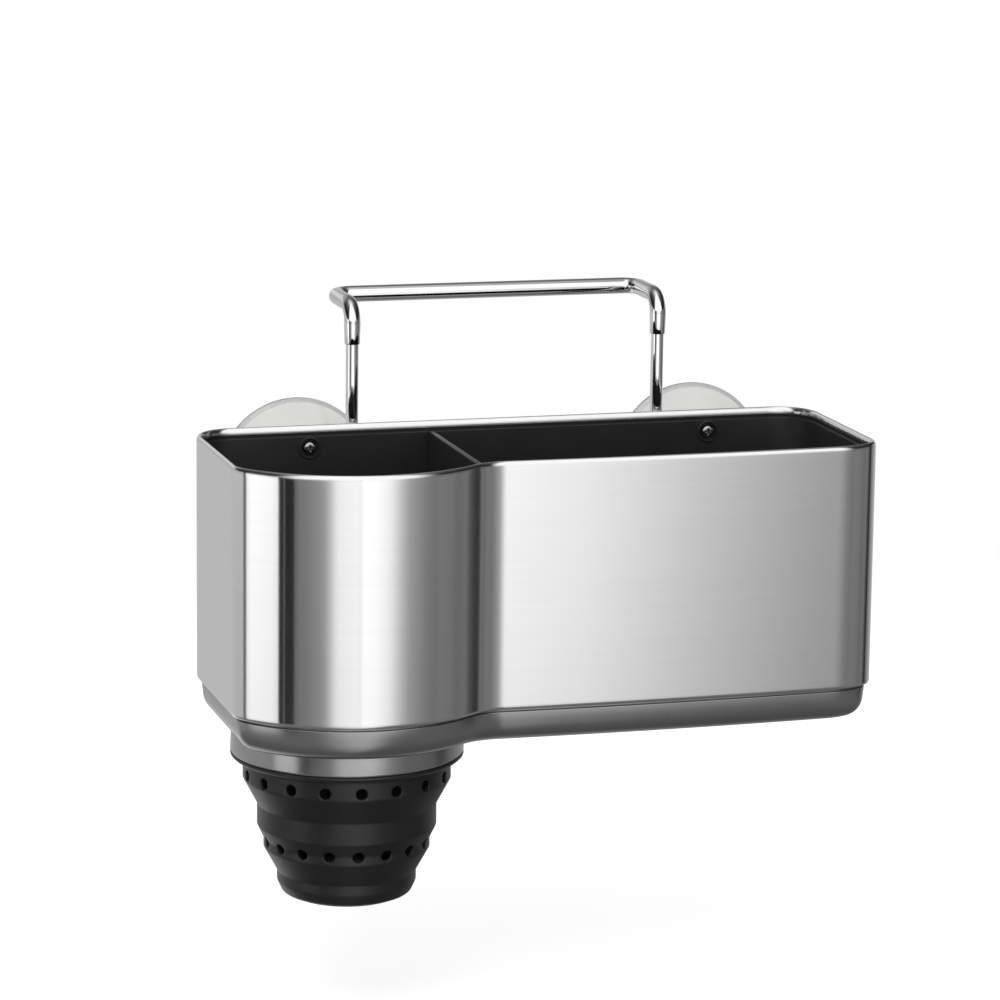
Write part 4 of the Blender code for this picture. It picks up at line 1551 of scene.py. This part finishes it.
@dataclass(frozen=True)
class Hanger(Assembly):
    """The chrome hoop, its two rods and their rubber caps."""

    plan: BodyPlan
    rod_x: float = 69.85 * MM
    rod_y: float = -17.0 * MM
    rod_radius: float = 2.75 * MM
    rod_bottom: float = 74.0 * MM
    tube_radius: float = 3.6 * MM
    tube_end_radius: float = 3.35 * MM
    tube_bore: float = 2.95 * MM
    bore_depth: float = 7.0 * MM
    tube_end: float = 33.6 * MM
    bar_height: float = 50.5 * MM
    bar_y: float = 16.0 * MM
    leg_bend: float = 8.0 * MM
    bar_bend: float = 6.5 * MM
    bend_squeeze: float = 0.03
    bend_steps: int = 16
    sides: int = 48

    def leg(self) -> list[tuple[Vector, float]]:
        """The left leg's straight end, from inside its bore up to the first bend.

        Returns:
            Points of the centre line, each with the tube's radius there.
        """
        foot = self.plan.rim_z + self.tube_end
        bore, end = self.tube_bore, self.tube_end_radius
        route = []
        for rise, radius in (
            (self.bore_depth, bore), (0.05 * MM, bore), (0.0, bore + 0.05 * MM), (0.0, end - 0.22 * MM),
            (0.08 * MM, end - 0.06 * MM), (0.3 * MM, end), (4.0 * MM, end + 0.1 * MM),
        ):
            route.append((Vector((-self.rod_x, self.rod_y, foot + rise)), radius))
        return route

    def bend(
        self, corner: Vector, coming: Vector, going: Vector, reach: float
    ) -> list[tuple[Vector, float]]:
        """A quarter turn of the tube, a little narrower in its middle.

        Args:
            corner: where the centre lines before and after it would meet.
            coming: the tube's direction before it.
            going: the tube's direction after it.
            reach: the centre line's radius.

        Returns:
            Points of the centre line, each with the tube's radius there.
        """
        route = []
        for i in range(self.bend_steps + 1):
            angle = math.pi / 2 * i / self.bend_steps
            before, after = reach * (1 - math.sin(angle)), reach * (1 - math.cos(angle))
            radius = self.tube_radius * (1 - self.bend_squeeze * math.sin(2 * angle))
            route.append((corner - coming * before + going * after, radius))
        return route

    def hoop(self) -> bpy.types.Object:
        """The bent tube, with a bored and rounded lower end on each leg."""
        up, back, right = (Vector(way) for way in ((0, 0, 1), (0, 1, 0), (1, 0, 0)))
        bar = self.plan.rim_z + self.bar_height
        half = self.leg()
        straight = len(half)
        half += self.bend(Vector((-self.rod_x, self.rod_y, bar)), up, back, self.leg_bend)
        half += self.bend(Vector((-self.rod_x, self.bar_y, bar)), back, right, self.bar_bend)
        route = half + [(Vector((-p.x, p.y, p.z)), radius) for p, radius in reversed(half)]
        turns = [2 * math.pi * k / self.sides for k in range(self.sides)]
        skin = Skin()
        rows = []
        across = right
        for i, (point, radius) in enumerate(route):
            before = route[max(i - 1, 0)][0]
            after = route[min(i + 1, len(route) - 1)][0]
            along = (after - before).normalized()
            if min(i, len(route) - 1 - i) < straight:
                along = up if point.x < 0 else -up
            across = (across - along * across.dot(along)).normalized()
            other = along.cross(across)
            ways = [math.cos(t) * across + math.sin(t) * other for t in turns]
            rows.append(skin.row([point + radius * way for way in ways]))
        skin.solid(rows)
        return skin.finish("hoop_tube", CHROME, 40.0)

    def foot_of(self, side: Side) -> Vector:
        """A rod's axis at the rim's height."""
        return Vector((side.value * self.rod_x, self.rod_y, self.plan.rim_z))

    def straight_rod(self, side: Side) -> bpy.types.Object:
        """One rod with chamfered ends.

        Args:
            side: the side that it is on.

        Returns:
            The object.
        """
        radius, low = self.rod_radius / MM, -self.rod_bottom / MM
        top = (self.tube_end + self.bore_depth) / MM - 0.3
        corners = [
            Corner(0.0, low), Corner(radius - 0.5, low, 0.1), Corner(radius, low + 0.5, 0.2),
            Corner(radius, top - 0.5, 0.2), Corner(radius - 0.5, top, 0.1), Corner(0.0, top),
        ]
        return turned(f"rod_{side.word}", rounded(corners), self.foot_of(side), CHROME, sides=64)

    def cap(self, side: Side) -> bpy.types.Object:
        """The rubber cap on a rod's lower end, with two shallow grip grooves.

        Args:
            side: the side that it is on.

        Returns:
            The object.
        """
        low = -self.rod_bottom / MM
        bore = self.rod_radius / MM + 0.2
        corners = [Corner(0.0, low - 2.0), Corner(3.2, low - 2.0, 0.5), Corner(4.4, low - 0.8, 0.6)]
        for rise in (1.6, 4.2):
            corners += [
                Corner(4.35, low + rise, 0.2), Corner(4.0, low + rise + 0.4, 0.2),
                Corner(4.0, low + rise + 0.9, 0.2), Corner(4.3, low + rise + 1.3, 0.2),
            ]
        corners += [
            Corner(4.2, low + 8.2, 0.5), Corner(bore, low + 8.2, 0.3), Corner(bore, low - 0.3),
            Corner(0.0, low - 0.3),
        ]
        profile = rounded(corners, steps=3)
        return turned(f"cap_{side.word}", profile, self.foot_of(side), RUBBER, sides=56)

    def pieces(self) -> Iterator[Piece]:
        """Hoop, rods and caps."""
        yield Piece(self.hoop(), Body.HANGER, CHROME, ("hanger_hoop",))
        for side in Side:
            yield Piece(self.straight_rod(side), Body.HANGER, CHROME, (f"hanger_rod_{side.word}",))
            yield Piece(self.cap(side), Body.HANGER, RUBBER, (f"rod_cap_{side.word}",))


@dataclass(frozen=True)
class RearMount(Assembly):
    """What is screwed to the back on one side: a bracket, its bush, suction cup and screws."""

    plan: BodyPlan
    hanger: Hanger
    side: Side
    centre_x: float = 85.2
    half_width: float = 22.0
    half_height: float = 20.2
    corner: float = 6.0
    gap: float = 0.3
    plate: float = 3.0
    depth: float = 8.7
    barrel_radius: float = 5.9
    barrel_top: float = 20.5
    barrel_bottom: float = -22.0
    bush_radius: float = 4.2
    bush_gap: float = 0.25
    rod_gap: float = 0.2
    boss_radius: float = 3.1
    rib_half: float = 1.1
    edge: float = 0.5

    @property
    def front(self) -> float:
        """The bracket's front face, in millimetres from the wall."""
        return self.plan.back_y / MM + self.gap

    @property
    def cup_x(self) -> float:
        """The suction cup's centre."""
        return self.side.value * SCREWS.back_x

    @property
    def rod_axis(self) -> Vector:
        """The hanger rod's axis at the height of the suction cup."""
        return Vector((self.side.value * self.hanger.rod_x, self.hanger.rod_y, 0.0))

    def bar(
        self, name: str, radius: float, ends: tuple[float, float], centre: Vector, axis: Axis
    ) -> bpy.types.Object:
        """A round bar with rounded ends, all in millimetres but for its centre.

        Args:
            name: its name.
            radius: its radius.
            ends: where it starts and ends, along its axis.
            centre: where the axis has its zero.
            axis: its axis.

        Returns:
            The object.
        """
        low, high = ends
        corners = [Corner(0.0, low), Corner(radius, low, self.edge)]
        corners += [Corner(radius, high, self.edge), Corner(0.0, high)]
        return turned(name, rounded(corners, steps=3), centre, BLACK_PLASTIC, axis, 56)

    def bracket(self) -> bpy.types.Object:
        """The bracket: a plate with barrel, socket, bosses and ribs."""
        plate = self.rounded_plate()
        carve(plate, self.bracket_raised(), "UNION")
        carve(plate, self.bracket_cuts(), "DIFFERENCE")
        return plate

    def bracket_raised(self) -> list[bpy.types.Object]:
        """What stands on the bracket's plate.

        Returns:
            The rod's barrel, the suction cup's socket, and the screws' bosses with their ribs.
        """
        front, back, x = self.front, self.front + self.depth, self.cup_x
        ends = (self.barrel_bottom, self.barrel_top)
        made = [self.bar("barrel", self.barrel_radius, ends, self.rod_axis, Axis.UP)]
        socket = rounded([
            Corner(0.0, back - 5.55), Corner(6.3, back - 5.55), Corner(6.3, back - 1.4),
            Corner(5.1, back - 1.4), Corner(5.1, back, 0.3), Corner(11.0, back, self.edge),
            Corner(11.0, front + 0.5), Corner(0.0, front + 0.5),
        ], steps=3)
        made.append(turned("socket", socket, Vector((x, 0.0, 0.0)), BLACK_PLASTIC, Axis.BACK, 64))
        reach = SCREWS.back_z / MM
        for level in (-1, 1):
            centre = Vector((x, 0.0, level * SCREWS.back_z))
            made.append(self.bar("boss", self.boss_radius, (front + 0.6, back), centre, Axis.BACK))
            ends = sorted((level * 10.0, level * (reach - 2.6)))
            low = Vector((x - self.rib_half * MM, (front + 0.8) * MM, ends[0] * MM))
            high = Vector((x + self.rib_half * MM, (back - 0.7) * MM, ends[1] * MM))
            made.append(block("rib", low, high, BLACK_PLASTIC))
        return made

    def bracket_cuts(self) -> list[bpy.types.Object]:
        """What is cut from the bracket.

        Returns:
            The two screws' pilot holes and the barrel's bore.
        """
        ends = ((self.front - 1.0) * MM, (self.front + self.depth - 1.3) * MM)
        radius = SCREWS.pilot_radius * MM
        cuts = []
        for level in (-1, 1):
            centre = Vector((self.cup_x, 0.0, level * SCREWS.back_z))
            cuts.append(rod("pilot", radius, ends, centre, BLACK_PLASTIC, Axis.BACK, 24))
        ends = ((self.barrel_bottom - 1.0) * MM, (self.barrel_top + 1.0) * MM)
        radius = (self.bush_radius + self.bush_gap) * MM
        return cuts + [rod("barrel_bore", radius, ends, self.rod_axis, BLACK_PLASTIC)]

    def rounded_plate(self) -> bpy.types.Object:
        """The upright plate with rounded corners and a rounded back edge."""
        front, back, edge = self.front, self.front + self.plate, self.edge
        turns = [math.pi / 2 * i / 3 for i in range(4)]
        levels = [(front, 0.0)]
        levels += [(back - edge * (1 - math.sin(a)), edge * (1 - math.cos(a))) for a in turns]
        across, up = self.half_width - self.corner, self.half_height - self.corner
        centre = self.side.value * self.centre_x
        skin = Skin()
        rows = []
        for y, inset in levels:
            outline = []
            for i, (sx, sz) in enumerate(((1, 1), (-1, 1), (-1, -1), (1, -1))):
                middle = Vector((sx * across, sz * up))
                outline += arc(middle, self.corner - inset, 90 * i, 90 * i + 90, 10)
            rows.append(skin.row([Vector(((centre + p.x) * MM, y * MM, p.y * MM)) for p in outline]))
        skin.solid(rows)
        return skin.finish(f"bracket_{self.side.word}", BLACK_PLASTIC)

    def bush(self) -> bpy.types.Object:
        """The sleeve that grips the rod, with a flange over the barrel."""
        bore = self.hanger.rod_radius / MM + self.rod_gap
        low, seat, top = self.barrel_bottom + 2.0, self.barrel_top + 0.3, self.barrel_top + 1.8
        outer, flange = self.bush_radius, self.barrel_radius - 0.6
        corners = [
            Corner(bore, low, 0.2), Corner(outer, low, 0.3), Corner(outer, seat),
            Corner(flange, seat, 0.2), Corner(flange - 0.3, top, 0.5), Corner(bore, top, 0.3),
        ]
        profile = rounded(corners, closed=True, steps=4)
        return turned(f"bush_{self.side.word}", profile, self.rod_axis, BLACK_PLASTIC, sides=64)

    def suction_cup(self) -> bpy.types.Object:
        """The clear cup with its thin rim, hollow face and button."""
        corners = [
            Corner(0.0, -4.8), Corner(10.0, -4.4, 8.0), Corner(22.0, -2.9, 10.0),
            Corner(31.4, 0.0, 0.3), Corner(34.6, 0.0, 0.3), Corner(34.6, -1.7, 0.6),
            Corner(33.4, -2.4, 0.8), Corner(27.0, -5.2, 6.0), Corner(18.0, -8.6, 8.0),
            Corner(9.0, -11.5, 1.2), Corner(7.8, -13.2, 0.6), Corner(4.7, -13.8, 0.6),
            Corner(4.7, -16.3, 0.4), Corner(5.9, -16.8, 0.3), Corner(5.9, -18.6, 0.3),
            Corner(4.6, -19.7, 0.5), Corner(0.0, -19.7),
        ]
        profile = rounded(corners, steps=6)
        centre = Vector((self.cup_x, 0.0, 0.0))
        return turned(f"sucker_{self.side.word}", profile, centre, VINYL, Axis.BACK, 128)

    def pieces(self) -> Iterator[Piece]:
        """Bracket, bush, suction cup and screws."""
        word = self.side.word
        yield Piece(self.bracket(), Body.CADDY, BLACK_PLASTIC, (f"rear_bracket_{word}",))
        yield Piece(self.bush(), Body.CADDY, BLACK_PLASTIC, (f"rod_bush_{word}",))
        yield Piece(self.suction_cup(), Body.CADDY, VINYL, (f"suction_cup_{word}",))
        for rank, level in (("upper", 1), ("lower", -1)):
            place = SCREWS.back_place(self.plan, self.side, level)
            head = (-4.2 * MM, -2.2 * MM)
            made = SCREWS.screw(f"screw_{rank}_{word}", place, Axis.BACK, head, 7.2 * MM)
            yield Piece(made, Body.CADDY, SCREW_STEEL, (f"bracket_screw_{rank}_{word}",))


# Studio and camera


@dataclass(frozen=True)
class Panel:
    """An upright strip of the studio's round wall, whose brightness runs evenly from end to end."""

    start: float
    end: float
    first: float
    last: float


@dataclass(frozen=True)
class Band:
    """A level line of the studio's round wall, at a slope from its middle.

    The wall's brightness there is a share of the panels' own and the rest of a plain level, which
    has a value for each zone: behind left, left, front left, middle, front right, right, behind right.
    """

    slope: float
    share: float
    plain: tuple[float, ...] = (0.0,) * 7


FAINT_BEHIND_LEFT = (0.58, 0.0, 0.0, 0.0, 0.0, 0.0, 0.0)


@dataclass(frozen=True)
class Studio:
    """A plain pale floor, soft light, and the softboxes and flags that the metal mirrors."""

    radius: float = 2.2
    centre: tuple[float, float] = (-0.087, -0.0745)
    widest: float = 8.0
    floor_z: float = -0.222
    floor_y: float = -0.07
    floor_rings: tuple[float, ...] = (0.0, 0.25, 0.5, 0.75, 1.0)
    floor_sides: int = 64
    ambient: float = 0.62
    ambient_below: float = 0.12
    ambient_turn: float = 0.35
    key_watts: float = 16.0
    key_size: float = 1.1
    key_place: tuple[float, float, float] = (-0.75, -1.25, 1.55)
    seams: tuple[tuple[float, float], ...] = (
        (-150.0, -130.0), (-66.0, -50.0), (-34.0, -4.0), (4.0, 20.0), (38.0, 52.0), (130.0, 150.0),
    )
    bottom: float = 0.15
    top: float = 1.3
    bands: tuple[Band, ...] = (
        Band(-2.60, 0.0, (0.30, 0.15, 0.15, 0.35, 0.15, 0.15, 0.28)),
        Band(-1.06, 0.0, (0.80, 0.18, 0.18, 0.78, 0.15, 0.15, 0.45)),
        Band(-0.56, 0.0, (1.00, 0.20, 0.20, 1.05, 0.16, 0.20, 0.25)),
        Band(-0.45, 0.0, (1.00, 0.20, 0.20, 1.05, 0.16, 0.20, 0.25)),
        Band(-0.35, 0.94, FAINT_BEHIND_LEFT),
        Band(-0.24, 0.95, FAINT_BEHIND_LEFT),
        Band(-0.16, 1.12, FAINT_BEHIND_LEFT),
        Band(-0.06, 1.12, FAINT_BEHIND_LEFT),
        Band(-0.022, 1.0),
        Band(-0.012, 0.55),
        Band(0.004, 0.55),
        Band(0.014, 1.0),
        Band(0.14, 1.0),
        Band(0.22, 0.0, (0.85, 0.02, 1.30, 1.30, 1.30, 0.02, 0.55)),
        Band(0.50, 0.0, (0.45, 0.02, 1.30, 1.30, 1.30, 0.02, 0.22)),
        Band(1.50, 0.0, (0.12, 0.14, 1.30, 1.30, 1.30, 0.14, 0.12)),
    )
    panels: tuple[Panel, ...] = (
        Panel(-180.0, -110.0, 0.57, 0.60), Panel(-96.0, -92.4, 0.62, 0.40),
        Panel(-91.6, -89.4, 0.10, 0.10), Panel(-88.0, -84.0, 1.26, 1.35),
        Panel(-78.0, -68.0, 1.35, 1.30), Panel(-64.2, -62.7, 1.20, 1.15),
        Panel(-62.5, -58.9, 0.00, 0.00), Panel(-58.6, -58.2, 0.20, 0.20),
        Panel(-57.8, -51.4, 0.00, 0.00), Panel(-50.4, -46.4, 0.14, 0.21),
        Panel(-42.5, -33.0, 0.22, 0.32), Panel(-29.6, -28.4, 0.40, 0.46),
        Panel(-26.0, -22.0, 0.62, 1.00), Panel(-19.0, -8.0, 1.15, 1.22),
        Panel(-4.8, -3.8, 1.16, 1.20), Panel(-2.6, 3.0, 1.38, 1.36),
        Panel(7.4, 13.0, 1.33, 1.23), Panel(17.0, 20.2, 1.11, 0.92),
        Panel(23.4, 26.8, 0.72, 0.56), Panel(30.0, 36.5, 0.43, 0.33),
        Panel(42.9, 50.0, 0.25, 0.21), Panel(55.0, 64.0, 0.23, 0.21),
        Panel(70.0, 78.0, 0.17, 0.20), Panel(82.0, 92.0, 0.10, 0.00),
        Panel(96.0, 118.0, 0.14, 0.42), Panel(150.0, 179.0, 0.55, 0.58),
    )

    def wall(self) -> bpy.types.Object:
        """The round wall with its bottom and top, which only mirrored rays see.

        Returns:
            The object, with each point's brightness in an attribute.
        """
        columns = self._columns()
        middle = Vector((*self.centre, 0.0))
        skin = Skin()
        levels: list[float] = []
        rows = []
        for band in self.bands:
            points = []
            for angle, level in columns:
                turn = math.radians(angle)
                across = Vector((math.sin(turn), -math.cos(turn), band.slope)) * self.radius
                points.append(middle + across)
                levels.append(level * band.share + self._plain(band, angle) * (1 - band.share))
            rows.append(skin.row(points))
        ends = [
            skin.row([Vector((*self.centre, 2 * band.slope * self.radius))])
            for band in (self.bands[0], self.bands[-1])
        ]
        levels += [self.bottom, self.top]
        skin.join_all([ends[0], *rows, ends[1]])
        made = skin.finish("studio_wall", StudioLight("studio_light", Slot.STEEL), 180.0)
        paint = made.data.attributes.new("level", "FLOAT", "POINT")
        paint.data.foreach_set("value", levels)
        made.visible_camera = made.visible_diffuse = made.visible_shadow = False
        made.visible_transmission = made.visible_volume_scatter = False
        return made

    def _columns(self) -> list[tuple[float, float]]:
        """The wall's columns, close enough together for it to be round.

        Returns:
            Each column's angle in degrees and its brightness, evenly spread between the panels' ends.
        """
        ends: list[tuple[float, float]] = []
        for panel in self.panels:
            ends += [(panel.start, panel.first), (panel.end, panel.last)]
        columns = []
        for (a0, l0), (a1, l1) in zip(ends, ends[1:]):
            parts = max(1, math.ceil((a1 - a0) / self.widest))
            columns += [(a0 + (a1 - a0) * i / parts, l0 + (l1 - l0) * i / parts) for i in range(parts)]
        return columns + [ends[-1]]

    def _plain(self, band: Band, angle: float) -> float:
        """A band's plain level, which runs evenly across the seams between its zones.

        Args:
            band: the band.
            angle: the direction in degrees.

        Returns:
            The level there.
        """
        level = band.plain[0]
        for (start, end), following in zip(self.seams, band.plain[1:]):
            level += (following - level) * min(max((angle - start) / (end - start), 0.0), 1.0)
        return level

    def floor(self) -> bpy.types.Object:
        """A pale round floor that keeps the shadow and fades into the white beyond.

        Returns:
            The object.
        """
        rings = [(radius, 0.0) for radius in self.floor_rings]
        centre = Vector((0.0, self.floor_y, self.floor_z))
        finish = PaleFloor("pale_floor", Slot.BASE)
        made = turned("floor_disc", rings, centre, finish, sides=self.floor_sides)
        made.visible_glossy = made.visible_diffuse = False
        return made

    def lights(self) -> None:
        """A large soft key light from above the front left, and an even white world."""
        data = bpy.data.lights.new("key_light", "AREA")
        data.shape = "DISK"
        data.size = self.key_size
        data.energy = self.key_watts
        key = bpy.data.objects.new("key_light", data)
        key.location = self.key_place
        key.rotation_euler = (-Vector(self.key_place)).to_track_quat("-Z", "Y").to_euler()
        key.visible_glossy = False
        bpy.context.scene.collection.objects.link(key)
        world = bpy.data.worlds.new("plain_white")
        world.use_nodes = True
        bpy.context.scene.world = world
        graph = Graph(world.node_tree)
        straight = seen_straight(graph)
        way = graph.node("ShaderNodeTexCoord")
        height = graph.node("ShaderNodeSeparateXYZ", None, {0: way}, output="Z")
        rise = graph.spread(height, -self.ambient_turn, self.ambient_turn)
        soft = self.ambient_below + rise * (self.ambient - self.ambient_below)
        strength = straight + (1 - straight) * soft
        white = graph.node("ShaderNodeBackground", None, {"Color": WHITE, "Strength": strength})
        graph.surface(white, "ShaderNodeOutputWorld")

    def build(self) -> None:
        """Sets the stage."""
        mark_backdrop(self.wall(), self.floor())
        self.lights()


def seen_straight(graph: Graph) -> Channel:
    """1 where the camera sees a surface directly, in a mirror or through glass, and 0 elsewhere."""
    rays = ("Is Camera Ray", "Is Transmission Ray", "Is Glossy Ray")
    camera, glass, mirror = (graph.node("ShaderNodeLightPath", output=ray) for ray in rays)
    return camera.larger(glass).larger(mirror)


@dataclass(frozen=True)
class StudioLight(Finish):
    """The glow of the studio's wall, as strong as each of its points is marked."""

    def shade(self, graph: Graph) -> Channel:
        """An emission shader that reads the wall's level."""
        level = graph.node("ShaderNodeAttribute", {"attribute_name": "level"}, output="Fac")
        return graph.node("ShaderNodeEmission", None, {"Color": WHITE, "Strength": level})

    def material(self) -> bpy.types.Material:
        """The glow, which lights nothing by itself."""
        made = super().material()
        made.cycles.emission_sampling = "NONE"
        return made


@dataclass(frozen=True)
class PaleFloor(Finish):
    """A matt pale floor, lifted to white for the camera and clear towards its edge."""

    colour: Colour = (0.60, 0.60, 0.60)
    lift: float = 0.67
    clear_from: float = 0.45
    clear_to: float = 0.95

    def shade(self, graph: Graph) -> Channel:
        """A diffuse floor with a lift that only the camera sees."""
        lift = seen_straight(graph) * self.lift
        matt = graph.node("ShaderNodeBsdfDiffuse", None, {"Color": self.colour})
        glow = graph.node("ShaderNodeEmission", None, {"Color": WHITE, "Strength": lift})
        lit = graph.node("ShaderNodeAddShader", None, {0: matt, 1: glow})
        distance = graph.length(graph.place() * (1.0, 1.0, 0.0))
        clear = graph.spread(distance, self.clear_from, self.clear_to)
        gap = graph.node("ShaderNodeBsdfTransparent", None, {"Color": WHITE})
        return graph.node("ShaderNodeMixShader", None, {0: clear, 1: lit, 2: gap})


@dataclass(frozen=True)
class PhotoCamera:
    """The camera that sees the caddy as the photograph does."""

    position: tuple[float, float, float] = (-0.5079, -1.7340, 0.3487)
    azimuth: float = 16.416
    elevation: float = 11.395
    roll: float = 0.695
    lens: float = 148.525
    sensor: float = 36.0
    farthest: float = 30.0

    def build(self) -> None:
        """Makes the camera and gives it to the scene."""
        data = bpy.data.cameras.new("photo_camera")
        data.lens = self.lens
        data.sensor_width = self.sensor
        data.clip_end = self.farthest
        camera = bpy.data.objects.new("photo_camera", data)
        turn = Matrix.Rotation(math.radians(-self.azimuth), 4, "Z")
        tilt = Matrix.Rotation(math.radians(90.0 - self.elevation), 4, "X")
        roll = Matrix.Rotation(math.radians(self.roll), 4, "Z")
        camera.matrix_world = Matrix.Translation(self.position) @ turn @ tilt @ roll
        bpy.context.scene.collection.objects.link(camera)
        bpy.context.scene.camera = camera


def write_sizes() -> None:
    """Lists the frame's box and the dressed caddy's box as their lowest and highest corners, and keeps
    neither.
    """
    bpy.context.view_layer.update()
    boxes = [cad_box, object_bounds()]
    [[list(corner) for corner in box] for box in boxes]


def main() -> None:
    """Builds the caddy and the studio round it."""
    logging.basicConfig(level=logging.INFO, format="%(message)s")
    plan = BodyPlan()
    cup = DrainCup(plan)
    hanger = Hanger(plan)
    assemblies: list[Assembly] = [
        SteelSleeve(plan), BasePieces(plan, cup), cup, hanger,
        *(RearMount(plan, hanger, side) for side in Side),
    ]
    for assembly in assemblies:
        for piece in assembly.pieces():
            piece.settle()
    Studio().build()
    PhotoCamera().build()
    bpy.context.scene.view_settings.view_transform = "Standard"
    write_sizes()


if __name__ == "__main__":
    main()
